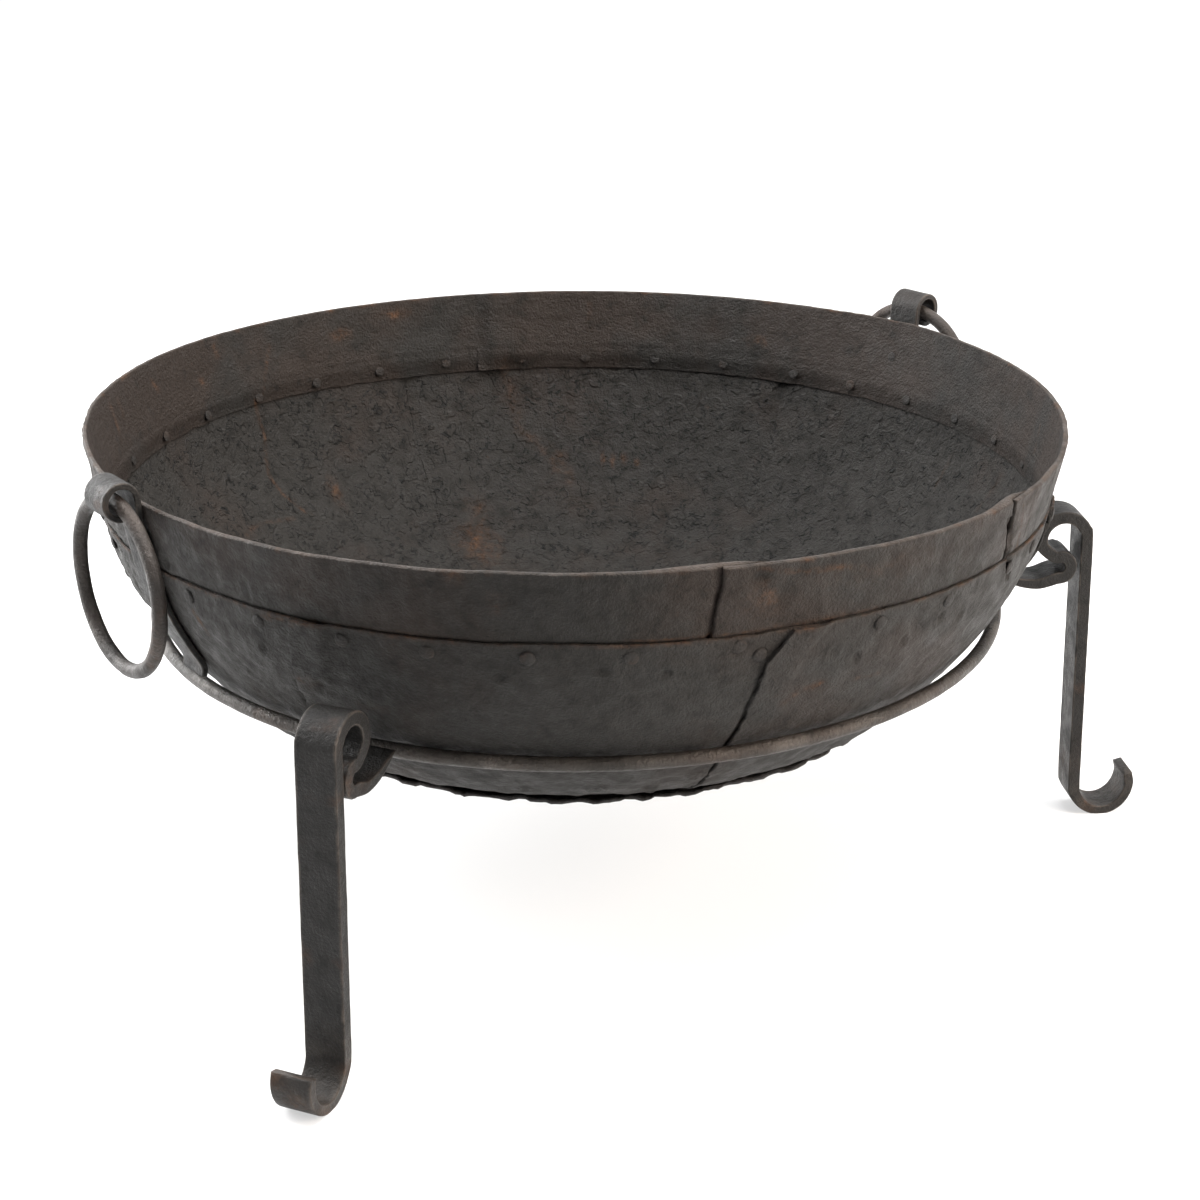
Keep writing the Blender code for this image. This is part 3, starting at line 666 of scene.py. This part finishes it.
def make_band(materials):
    section = band_section()
    step = BAND_THICKNESS + GAP
    ends = BAND_SEAMS[1:] + (BAND_SEAMS[0] + 360.0,)
    for number, (start, seam) in enumerate(zip(BAND_SEAMS, ends), 1):
        azimuth, s = plate_grid(start, seam + LAP, section)
        azimuth = rag_ends(azimuth, s, 0.16, 0.0)
        azimuth = azimuth + bump_at(azimuth, start, 1.5) * seam_shift(start, section.at(s)[1])
        foot = bump_at(s, section.length, 0.01)
        head = bump_at(s, 0.0, 0.006)
        corroded = 1.0 + 2.0 * about(azimuth, 190.0, 22.0)
        corroded += 2.4 * about(azimuth, 43.0, 9.0)
        shallow = 0.0045 * about(azimuth, 143.0, 22.0)
        waver = 0.001 * noise_line(azimuth, 1.9, 43) + 0.0004 * noise_line(azimuth, 0.7, 44)
        s = s + foot * (waver - shallow)
        nicks = 0.00022 * np.abs(noise_line(azimuth, 0.8, 45))
        nicks += 0.00025 * np.abs(noise_line(azimuth, 2.3, 46))
        s = s + head * corroded * nicks
        z = section.at(s)[1]
        past = azimuth - seam - seam_shift(seam, z)
        since = azimuth - azimuth[:1]
        proud = 0.0011 * (1.0 - ease(since, 0.0, 5.0)) * (0.5 + 0.5 * ease(z, 0.38, 0.392))
        lift = proud - (step - 0.001) * under_ramp(past, 0.35)
        inner_lift = proud - step * under_ramp(past, 7.0)
        names = f"band_{number}", f"rim_band_plate_{number}"
        thin = band_thickness(z)
        finish_plate(*names, materials["band"], azimuth, s, section, thin, lift, inner_lift, True)


def make_sides(materials):
    section = side_section()
    step = SIDE_THICKNESS + GAP
    ends = SIDE_SEAMS[1:] + (SIDE_SEAMS[0] + 360.0,)
    for number, (start, seam) in enumerate(zip(SIDE_SEAMS, ends), 1):
        azimuth, s = plate_grid(start, seam + LAP, section)
        azimuth = rag_ends(azimuth, s, 0.75, 0.2)
        z = section.at(s)[1]
        head = bump_at(s, 0.0, 0.007)
        torn = 1.0 + 1.3 * about(azimuth, 292.0, 22.0)
        ragged = 0.0012 * noise_line(azimuth, 3.2, 51) + torn * 0.0007 * noise_line(azimuth, 0.8, 52)
        s = s + head * (ragged - 0.0006)
        raised = ease(z, SWAP_LOW, SWAP_HIGH)
        lift = step * (raised * over_ramp(azimuth - start) - (1.0 - raised) * under_ramp(azimuth - seam, 0.4))
        lip = bump_at(s, 0.0, 0.005) * (0.0002 + 0.0006 * noise_line(azimuth, 1.6, 53))
        seen = 0.0 if start < 215.0 else 1.0
        side_lip = seen * bump_at(azimuth, start, 0.7) * (0.0006 + 0.0008 * noise_line(s, 0.009, 54))
        lift = lift + lip + side_lip
        sunk = -step * (1.0 - raised) * (under_ramp(azimuth - seam, 6.0) - under_ramp(azimuth - seam, 0.4))
        names = f"side_{number}", f"side_plate_{number}"
        finish_plate(*names, materials["side"], azimuth, s, section, SIDE_THICKNESS, lift, lift + sunk, False)


DISH_DENTS = (
    (272.7, 0.279, 0.009), (281.4, 0.274, 0.0085),
    (291.0, 0.286, 0.008), (249.0, 0.283, 0.009),
)


def torn_lip(azimuth):
    """How far the dish's torn lip falls short of, or hangs past, its nominal edge: broken steps and teeth."""
    around = azimuth % 360.0
    steps = np.round(1.6 * noise_line(around, 2.9, 61) + 0.5 * noise_line(around, 1.1, 62)) / 1.6
    return 0.0026 * steps + 0.0008 * noise_line(around, 0.9, 68) - 0.0012


def make_dish(materials):
    """The bottom dish: a hammered cap with a torn, sagging lip."""
    columns = 420
    angles = np.linspace(0.0, 360.0, columns, endpoint=False)
    reach = np.concatenate([np.linspace(0.012, 0.28, 70), np.linspace(0.2825, DISH_EDGE_RADIUS, 11)])
    azimuth, radius = np.meshgrid(angles, reach, indexing="ij")
    radius = radius + torn_lip(azimuth) * ease(reach, 0.28, DISH_EDGE_RADIUS)[None, :]
    sag = 0.0024 + 0.0024 * np.round(1.5 * noise_line(azimuth, 3.1, 63)) / 1.5
    sag += 0.001 * noise_line(azimuth, 1.1, 69)
    z = dish_height(radius) - sag * ease(radius, 0.286, 0.301)
    base = place(azimuth, radius, z)
    edge = unit((reach[-1] - reach) / 0.0016)[None, :]
    full = np.sqrt(1.0 - (1.0 - edge) ** 2)
    thick = DISH_THICKNESS / np.sqrt(1.0 - (radius / DISH_SPHERE) ** 2)
    work = 0.0009 * noise(base, 0.05, 64) + 0.0003 * noise(base, 0.012, 65)
    fade = 1.0 - ease(radius, 0.225, 0.24)
    outside = 0.0009 * noise(base, 0.01, 70) + 0.0005 * noise(base, 0.006, 66)
    for middle, centre, size in DISH_DENTS:
        away = np.hypot(turn(azimuth - middle) * math.radians(1.0) * centre, radius - centre) / size
        outside += 0.003 * bump_at(away, 0.0, 0.55)
        outside -= 0.0016 * bump_at(away, 1.1, 0.35)
    low = base.copy()
    low[..., 2] += thick / 2.0 * (1.0 - full) + full * (work * fade + outside)
    high = base.copy()
    high[..., 2] += thick / 2.0 * (1.0 + full) + full * work * fade
    loops = np.concatenate([low, high[:, ::-1][:, 1:]], axis=1) + AXIS
    rings = loops.transpose(1, 0, 2)
    faces = tube_faces(rings.shape[0], columns, False)
    points = rings.reshape(-1, 3)
    unseen = len(reach) - 1
    masks = {
        "rust": unit(0.5 * noise(points - AXIS, 0.03, 67) - 0.25),
        "wear": np.zeros(len(points)),
        # Painted shade: a dark ring on the dish's underside just inside its torn lip.
        "soot_and_shade": np.repeat(np.append(0.3 * bump_at(reach, 0.289, 0.004), np.zeros(unseen)), columns),
        "inside": np.repeat(np.append(np.zeros(len(reach)), np.ones(unseen)), columns),
    }
    piece = mesh_object("dish", materials["dish"], points, faces, masks)
    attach(piece, "bowl")
    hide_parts("bottom_dish")


# ---- rivets

def wall_normal(point):
    """Outward normal of the wall at a point given about the bowl's axis."""
    flat = math.hypot(point[0], point[1])
    z = point[2]
    slope = float(wall_radius(z + 0.001) - wall_radius(z - 0.001)) / 0.002
    out = np.array([point[0] / flat, point[1] / flat, -slope])
    return out / np.linalg.norm(out)


def lathe_points(centre, axis, profile, sides, seed, roughness):
    """Rings of a small turned piece, made uneven; profile holds (distance, radius) pairs."""
    across = np.cross(axis, (0.0, 0.0, 1.0))
    across /= np.linalg.norm(across)
    up = np.cross(across, axis)
    angles = np.linspace(0.0, 2.0 * math.pi, sides, endpoint=False)
    rings = []
    for distance, radius in profile:
        uneven = 1.0 + roughness * noise_line(np.cos(angles) * 3.0 + seed * 7.7, 1.3, seed)
        rim = np.outer(np.cos(angles) * radius * uneven, across)
        rim += np.outer(np.sin(angles) * radius * uneven, up)
        rings.append(centre + axis * distance + rim)
    return np.array(rings)


def make_rivet(node, material, seed):
    """A hammered rivet in place of a CAD one: wide low heads on both sides and its shank."""
    cad = np.array([v.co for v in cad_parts[node].data.vertices]) - AXIS
    middle = cad.mean(axis=0)
    axis = wall_normal(middle)
    reach = cad @ axis
    centre = middle - axis * float(middle @ axis)
    head = float(reach.max())
    tail = float(reach.min())
    wide, low, shank = RIVET_HEAD_RADIUS, RIVET_INNER_RADIUS, RIVET_SHANK_RADIUS
    turns = np.linspace(0.12, math.pi / 2, 6)
    dome = [(head - 0.003 + 0.0019 * math.cos(a), wide * math.sin(a)) for a in turns]
    inner = [(tail + 0.0024 - 0.0006 * math.sin(a), low * math.cos(a)) for a in np.linspace(0.0, 1.45, 5)]
    profile = dome + [(head - 0.0034, wide), (head - 0.0034, shank), (tail + 0.0026, shank)] + inner
    rings = lathe_points(centre, axis, profile, RIVET_SIDES, seed, 0.1)
    points = rings.reshape(-1, 3)
    points = points + axis * (0.00025 * noise(points, 0.003, seed))[:, None] + AXIS
    masks = without_soot_or_shade(np.clip(0.7 * noise(points, 0.02, 71) - 0.1, 0.0, 0.6), np.full(len(points), 0.08))
    faces = tube_faces(len(profile), RIVET_SIDES, False)
    piece = mesh_object(node.replace("rivet", "hammered_rivet"), material, points, faces, masks)
    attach(piece, "bowl")
    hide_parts(node)


def make_rivets(materials):
    names = sorted(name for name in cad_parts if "rivet" in name)
    for seed, node in enumerate(names, 1):
        make_rivet(node, materials["rivet"], seed)


# ---- bars

def arc_points(centre, radius, start, end, steps):
    angles = np.radians(np.linspace(start, end, steps + 1))
    return [(centre[0] + radius * math.cos(a), centre[1] + radius * math.sin(a)) for a in angles]


def leg_outline():
    """Middle line of a leg with its half thickness: (radius, height, half)."""
    points = [(0.4022, 0.2634, 0.0006), (0.414, 0.2585, 0.0028)]
    points += [(0.43, 0.253, 0.0044), (0.448, 0.2512, 0.0052)]
    middle = arc_points(SCROLL_CENTRE, SCROLL_RADIUS, -100.0, 112.0, 7)
    middle += [(0.4545, 0.2835), (0.4488, 0.2895)]
    middle += arc_points(ARCH_CENTRE, ARCH_RADIUS, 180.0, 2.0, 8)
    middle += [(LEG_BOTTOM_RADIUS - inset, z) for inset, z in ((0.0045, 0.23), (0.003, 0.165), (0.0015, 0.1))]
    points += [(r, z, LEG_HALF_THICKNESS) for r, z in middle]
    for angle in FOOT_ANGLES:
        radius = float(np.interp(angle, *FOOT_RADII))
        thin = float(np.interp(angle, *FOOT_HALVES))
        a = math.radians(angle)
        points.append((FOOT_CENTRE[0] + radius * math.cos(a), FOOT_CENTRE[1] + radius * math.sin(a), thin))
    return points


def bar_outline(half_width, half, corner):
    """Outline of a flat bar with rounded corners, as (across, through) pairs, denser beside its corners."""
    corner = min(corner, half * 0.9)
    reach = np.array([half_width - corner, half - corner])
    signs = ((1, 1), (-1, 1), (-1, -1), (1, -1))

    def corner_point(quarter, turned):
        a = math.pi / 2 * turned
        return reach * signs[quarter % 4] + corner * np.array([math.cos(a), math.sin(a)])

    outline = []
    for quarter in range(4):
        outline += [corner_point(quarter, quarter + k / 3) for k in range(4)]
        last, following = outline[-1], corner_point(quarter + 1, quarter + 1)
        middle = np.linspace(0.12, 0.88, 5) if quarter % 2 == 0 else (0.5,)
        outline += [last + (following - last) * t for t in (0.05, *middle, 0.95)]
    return np.array(outline)


def sweep_bar(outline_points, width, azimuth, spacing, seed, work):
    """Points, faces and masks of a flat bar bent along a middle line in the upright plane at an azimuth."""
    line = smooth_curve(outline_points, spacing)
    along = np.gradient(line[:, :2], axis=0)
    along /= np.linalg.norm(along, axis=1, keepdims=True)
    normal = np.stack([-along[:, 1], along[:, 0]], axis=1)
    out, beside, up = upright(azimuth)
    rings = []
    wear = []
    for (r, z, half), n in zip(line, normal):
        outline = bar_outline(width / 2.0, half, BAR_CORNER)
        normals = outline / np.linalg.norm(outline, axis=1, keepdims=True)
        middle = out * r + up * z
        through = out * n[0] + up * n[1]
        ring = middle + np.outer(outline[:, 0], beside) + np.outer(outline[:, 1], through)
        push = work * noise(ring, 0.014, seed) + 0.4 * work * noise(ring, 0.005, seed + 1)
        ring = ring + np.outer(push * normals[:, 0], beside)
        ring += np.outer(push * np.sign(outline[:, 1]), through)
        rings.append(ring)
        across, deep = np.abs(outline).T
        near_corner = (across > width / 2.0 - 1.1 * BAR_CORNER) & (deep > half - 1.1 * BAR_CORNER)
        wear.append(near_corner.astype(float))
    rings = np.array(rings)
    points = rings.reshape(-1, 3) + AXIS
    foot = 1.0 - ease(points[:, 2], 0.03, 0.08)
    brushed = 0.3 * foot * (1.0 + 0.6 * noise(points, 0.01, seed + 4))
    rust = unit(0.9 * noise(points, 0.02, seed + 2) - 0.35 + 0.35 * foot)
    worn = np.concatenate(wear) * unit(0.55 + 0.7 * noise(points, 0.012, seed + 3))
    masks = without_soot_or_shade(rust, np.maximum(worn, brushed))
    return points, tube_faces(rings.shape[0], rings.shape[1], False), masks


def make_legs(materials):
    for seed, (node, azimuth) in enumerate(LEG_AZIMUTHS.items(), 80):
        bar = sweep_bar(leg_outline(), LEG_WIDTH, azimuth, LEG_STEP, seed, 0.00011)
        piece = mesh_object(f"forged_{node}", materials["bar"], *bar)
        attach(piece, "stand")
        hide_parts(node)


def round_bar_ring(centre, first, second, radius, wire, rings, sides, seed, work):
    """A ring of round bar in the plane of two unit vectors, a little uneven along its length."""
    around = np.linspace(0.0, 2.0 * math.pi, rings, endpoint=False)
    angles = np.linspace(0.0, 2.0 * math.pi, sides, endpoint=False)
    normal = np.cross(first, second)
    points = []
    for a in around:
        out = first * math.cos(a) + second * math.sin(a)
        middle = centre + out * radius
        ring = middle + np.outer(np.cos(angles), out) * wire + np.outer(np.sin(angles), normal) * wire
        push = 1.0 + work * noise(ring, 0.016, seed) + 0.5 * work * noise(ring, 0.006, seed + 1)
        points.append(middle + (ring - middle) * push[:, None])
    points = np.array(points).reshape(-1, 3)
    rust = unit(0.9 * noise(points, 0.025, seed + 2) - 0.3)
    wear = unit(0.25 + 0.5 * noise(points, 0.03, seed + 3))
    return points, tube_faces(rings, sides, True), without_soot_or_shade(rust, wear)


def make_stand_ring(materials):
    x, y, up = np.eye(3)
    ring = round_bar_ring(AXIS + up * RING_HEIGHT, x, y, RING_RADIUS, RING_WIRE, 560, 16, 90, 0.03)
    piece = mesh_object("hoop", materials["hoop"], *ring)
    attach(piece, "stand")
    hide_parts("stand_ring")


def make_handles(materials):
    for seed, (side, (azimuth, eye_radius, eye_height)) in enumerate(LUGS.items(), 95):
        out, beside, up = upright(azimuth)
        centre = AXIS + out * eye_radius + up * (eye_height - HANDLE_DROP - HANDLE_RADIUS)
        ring = round_bar_ring(centre, beside, up, HANDLE_RADIUS, HANDLE_WIRE, 200, 18, seed * 3, 0.035)
        piece = mesh_object(f"ring_{side}", materials["handle"], *ring)
        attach(piece, f"handle_{side}")
        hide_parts(f"handle_ring_{side}")


def make_lugs(materials):
    for seed, (side, (azimuth, eye_radius, eye_height)) in enumerate(LUGS.items(), 120):
        eye = arc_points((eye_radius, eye_height), LUG_EYE_RADIUS, LUG_LIP_ANGLE, 180.0, 14)
        tail = []
        for z in LUG_TAIL_HEIGHTS:
            on_wall = place(azimuth, float(wall_radius(z)), z)
            clear = math.hypot(on_wall[0], on_wall[1]) + SIDE_PROUD + 3.0 * GAP
            tail.append((clear + LUG_HALF_THICKNESS, on_wall[2]))
        for outward, z in LUG_TAIL_TIP:
            tail.append((tail[-1][0] + outward, z))
        half = LUG_HALF_THICKNESS
        outline = [(r, z, half * 0.75 if i == 0 else half) for i, (r, z) in enumerate(eye + tail)]
        bar = sweep_bar(outline, LUG_WIDTH, azimuth, LUG_STEP, seed * 3, 0.00018)
        piece = mesh_object(f"strap_{side}", materials["bar"], *bar)
        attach(piece, "bowl")
        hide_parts(f"lug_{side}")


# ---- materials

class Tree:
    """A material's node tree, with short calls for the nodes used here."""

    def __init__(self, name):
        self.material = bpy.data.materials.new(name)
        self.material.use_nodes = True
        self.nodes = self.material.node_tree.nodes
        self.links = self.material.node_tree.links
        self.shader = self.nodes["Principled BSDF"]
        self.coords = self.nodes.new("ShaderNodeTexCoord").outputs["Object"]

    def fill(self, node, inputs):
        """Sets or links a node's inputs, given by name or number."""
        for socket, value in inputs.items():
            if isinstance(value, bpy.types.NodeSocket):
                self.links.new(value, node.inputs[socket])
            else:
                node.inputs[socket].default_value = value
        return node

    def add(self, kind, inputs):
        return self.fill(self.nodes.new("ShaderNode" + kind), inputs)

    def noise(self, scale, detail=3.0, roughness=0.55, distortion=0.0):
        inputs = {"Scale": scale, "Detail": detail, "Roughness": roughness, "Distortion": distortion}
        return self.add("TexNoise", {**inputs, "Vector": self.coords}).outputs["Fac"]

    def cells(self, scale):
        return self.add("TexVoronoi", {"Scale": scale, "Vector": self.coords}).outputs["Distance"]

    def mask(self, name):
        node = self.add("Attribute", {})
        node.attribute_name = name
        return node.outputs["Fac"]

    def spread(self, value, low, high, to_low=0.0, to_high=1.0):
        inputs = {"Value": value, "From Min": low, "From Max": high, "To Min": to_low, "To Max": to_high}
        node = self.add("MapRange", inputs)
        node.interpolation_type = "SMOOTHSTEP"
        return node.outputs["Result"]

    def maths(self, operation, a, b):
        node = self.add("Math", {0: a, 1: b})
        node.operation = operation
        return node.outputs["Value"]

    def times(self, a, b):
        return self.maths("MULTIPLY", a, b)

    def mix(self, factor, a, b):
        node = self.add("Mix", {"Factor": factor})
        node.data_type = "RGBA"
        slots = [number for number, socket in enumerate(node.inputs) if socket.type == "RGBA"]
        colours = [(*colour, 1.0) if isinstance(colour, tuple) else colour for colour in (a, b)]
        self.fill(node, dict(zip(slots, colours)))
        return [socket for socket in node.outputs if socket.type == "RGBA"][0]

    def bump(self, height, strength, distance, below=None):
        inputs = {"Strength": strength, "Distance": distance, "Height": height}
        if below is not None:
            inputs["Normal"] = below
        return self.add("Bump", inputs).outputs["Normal"]


def iron(
    name, grey, brown, bare, brownness=0.5, rough=(0.5, 0.72), metallic=0.2, shine=0.3, grain=1.0, flakes=0.0
):
    """Weathered iron: grey scale mottled with brown, rust, bare metal where worn, pits and grain."""
    tree = Tree(name)
    broad = tree.noise(7.0, 4.0, 0.6)
    mottled = tree.noise(55.0, 5.0, 0.65)
    fine = tree.noise(380.0, 4.0, 0.7)
    colour = tree.mix(tree.spread(broad, 0.62 - 0.3 * brownness, 0.8 - 0.3 * brownness), grey, brown)
    dark = tuple(0.4 * c for c in grey)
    colour = tree.mix(tree.spread(mottled, 0.56, 0.7, 0.0, 0.7), colour, dark)
    pale = tuple(min(1.0, 2.0 * c) for c in grey)
    colour = tree.mix(tree.spread(fine, 0.56, 0.76, 0.0, 0.6), colour, pale)
    pits = tree.cells(190.0)
    pitted = tree.spread(pits, 0.05, 0.32, 1.0, 0.0)
    patchy = tree.spread(tree.noise(24.0, 3.0), 0.45, 0.6)
    pitted = tree.times(pitted, patchy)
    colour = tree.mix(tree.times(pitted, 0.7), colour, dark)

    if flakes:
        shape = tree.noise(96.0, 1.5, 0.45, 1.1)
        gate = tree.times(tree.spread(tree.noise(60.0, 1.0), 0.45, 0.5), tree.mask("inside"))
        off_line = tree.maths("ABSOLUTE", tree.maths("SUBTRACT", shape, 0.5), 0.0)
        crescents = tree.times(tree.spread(off_line, 0.014, 0.038, 1.0, 0.0), gate)
        crack = tuple(0.15 * c for c in grey)
        colour = tree.mix(tree.times(crescents, 0.95 * min(1.0, flakes)), colour, crack)
        ledge = tree.times(tree.spread(shape, 0.485, 0.515), gate)

    specks = tree.spread(tree.noise(32.0, 4.0, 0.7), 0.62, 0.72)
    specks = tree.times(specks, tree.spread(tree.noise(240.0, 2.0), 0.5, 0.62))
    rust_grain = tree.spread(tree.noise(170.0, 4.0, 0.75), 0.34, 0.62, 0.2, 1.0)
    rust = tree.times(tree.mask("rust"), rust_grain)
    rust = tree.maths("MAXIMUM", rust, tree.times(specks, 0.35 * brownness))
    rust_colour = tree.mix(tree.spread(tree.noise(120.0, 3.0), 0.35, 0.65), *RUST_COLOURS)
    colour = tree.mix(rust, colour, rust_colour)

    worn_grain = tree.spread(tree.noise(150.0, 4.0, 0.7), 0.32, 0.6, 0.3, 1.0)
    worn = tree.times(tree.mask("wear"), worn_grain)
    colour = tree.mix(worn, colour, bare)
    # This mask darkens the colour to near black: painted shade at the seams, on the bowl's front, below the
    # band inside and at the dish's lip, along with real soot spots.
    colour = tree.mix(tree.times(tree.mask("soot_and_shade"), 0.75), colour, SOOT_AND_SHADE_COLOUR)
    tree.fill(tree.shader, {"Base Color": colour, "Metallic": metallic, "Specular IOR Level": shine})

    roughness = tree.spread(mottled, 0.35, 0.65, rough[0], rough[1])
    roughness = tree.maths("ADD", roughness, tree.times(rust, 0.25))
    roughness = tree.maths("SUBTRACT", roughness, tree.times(worn, 0.12))
    roughness = tree.maths("ADD", roughness, tree.times(tree.mask("inside"), 0.1))

    normal = tree.bump(tree.noise(95.0, 5.0, 0.72), 0.8 * grain, 0.0028)
    normal = tree.bump(fine, 1.0 * grain, 0.0012, normal)
    normal = tree.bump(pitted, -0.6 * grain, 0.0008, normal)
    if flakes:
        normal = tree.bump(ledge, flakes, 0.0014, normal)
    tree.fill(tree.shader, {"Roughness": roughness, "Normal": normal})
    return tree.material


def make_materials():
    """One weathered iron for each kind of part."""
    return {
        "band": iron(
            "hammered_band", (0.016, 0.0142, 0.0124), (0.0214, 0.0148, 0.0112), (0.048, 0.035, 0.027), 0.75,
            grain=1.15, flakes=0.3,
        ),
        "side": iron(
            "hammered_side", (0.0202, 0.0184, 0.0164), (0.0238, 0.018, 0.0146), BARE_IRON, 0.45,
            grain=1.3, flakes=1.0,
        ),
        "dish": iron(
            "sooty_dish", (0.0175, 0.0158, 0.0148), (0.0205, 0.016, 0.0136), BARE_IRON, 0.4,
            shine=0.35, grain=1.3, flakes=1.0,
        ),
        "bar": iron(
            "forged_bar", (0.012, 0.0112, 0.0105), (0.0155, 0.0124, 0.0106), (0.06, 0.049, 0.041), 0.35,
            rough=(0.4, 0.58), metallic=0.3, shine=0.3, grain=0.6,
        ),
        "hoop": iron(
            "worn_hoop", (0.0225, 0.0195, 0.0165), (0.0285, 0.021, 0.0165), (0.11, 0.096, 0.085), 0.5,
            rough=(0.3, 0.5), metallic=0.5, shine=0.4, grain=0.8,
        ),
        "handle": iron(
            "worn_ring", (0.024, 0.0205, 0.0182), (0.031, 0.0225, 0.018), (0.085, 0.072, 0.063), 0.7,
            rough=(0.34, 0.55), metallic=0.4, shine=0.4, grain=0.7,
        ),
        "rivet": iron("rivet_head", (0.015, 0.014, 0.0132), (0.019, 0.0145, 0.012), BARE_IRON, 0.5),
    }


# ---- studio

def make_floor():
    mesh = bpy.data.meshes.new("studio_floor")
    corners = [(x * FLOOR_REACH, y * FLOOR_REACH, 0.0) for x, y in ((-1, -1), (1, -1), (1, 1), (-1, 1))]
    mesh.from_pydata(corners, [], [(0, 1, 2, 3)])
    floor = add_object("studio_floor", mesh)
    tree = Tree("pale_floor")
    tone = tree.mix(tree.spread(tree.noise(1.5, 2.0), 0.3, 0.7), (0.45, 0.45, 0.45), (0.47, 0.47, 0.47))
    tree.fill(tree.shader, {"Base Color": tone, "Roughness": 0.9, "Specular IOR Level": 0.1})
    tree.fill(tree.shader, {"Emission Color": (*WHITE, 1.0), "Emission Strength": FLOOR_GLOW})
    mesh.materials.append(tree.material)


def area_light(name, place_at, target, size, power, colour):
    light = bpy.data.lights.new(name, "AREA")
    light.shape = "RECTANGLE"
    light.size, light.size_y = size
    light.energy = power
    light.color = colour
    lamp = add_object(name, light)
    lamp.location = place_at
    lamp.rotation_euler = (Vector(target) - Vector(place_at)).to_track_quat("-Z", "Y").to_euler()


def make_world():
    """White surroundings, dim towards the front left, so views from behind have a dark grey backdrop."""
    world = bpy.data.worlds.new("studio")
    bpy.context.scene.world = world
    world.use_nodes = True
    nodes = world.node_tree.nodes
    links = world.node_tree.links
    background = nodes["Background"]
    coords = nodes.new("ShaderNodeTexCoord")
    dot = nodes.new("ShaderNodeVectorMath")
    dot.operation = "DOT_PRODUCT"
    dot.inputs[1].default_value = BRIGHT_SIDE
    links.new(coords.outputs["Generated"], dot.inputs[0])
    ramp = nodes.new("ShaderNodeMapRange")
    ramp.interpolation_type = "SMOOTHSTEP"
    links.new(dot.outputs["Value"], ramp.inputs["Value"])
    for name, value in WORLD_RANGE.items():
        ramp.inputs[name].default_value = value
    links.new(ramp.outputs["Result"], background.inputs["Strength"])
    background.inputs["Color"].default_value = (*WHITE, 1.0)


def make_studio():
    """Floor, surroundings, soft boxes at the sides and above, and the camera."""
    make_floor()
    make_world()
    for softbox in SOFTBOXES:
        area_light(*softbox)
    camera_data = bpy.data.cameras.new("camera")
    camera_data.lens = CAMERA_LENS
    camera_data.sensor_width = 36.0
    camera = add_object("camera", camera_data)
    camera.location = (AXIS[0], AXIS[1] - CAMERA_DISTANCE, AXIS[2] + CAMERA_HEIGHT)
    camera.rotation_euler = (math.radians(90.0 - CAMERA_PITCH), 0.0, -math.radians(CAMERA_YAW))
    bpy.context.scene.camera = camera
    bpy.context.scene.view_settings.view_transform = "Standard"


def build():
    make_studio()
    materials = make_materials()
    make_band(materials)
    make_sides(materials)
    make_dish(materials)
    make_rivets(materials)
    make_legs(materials)
    make_stand_ring(materials)
    make_lugs(materials)
    make_handles(materials)


build()
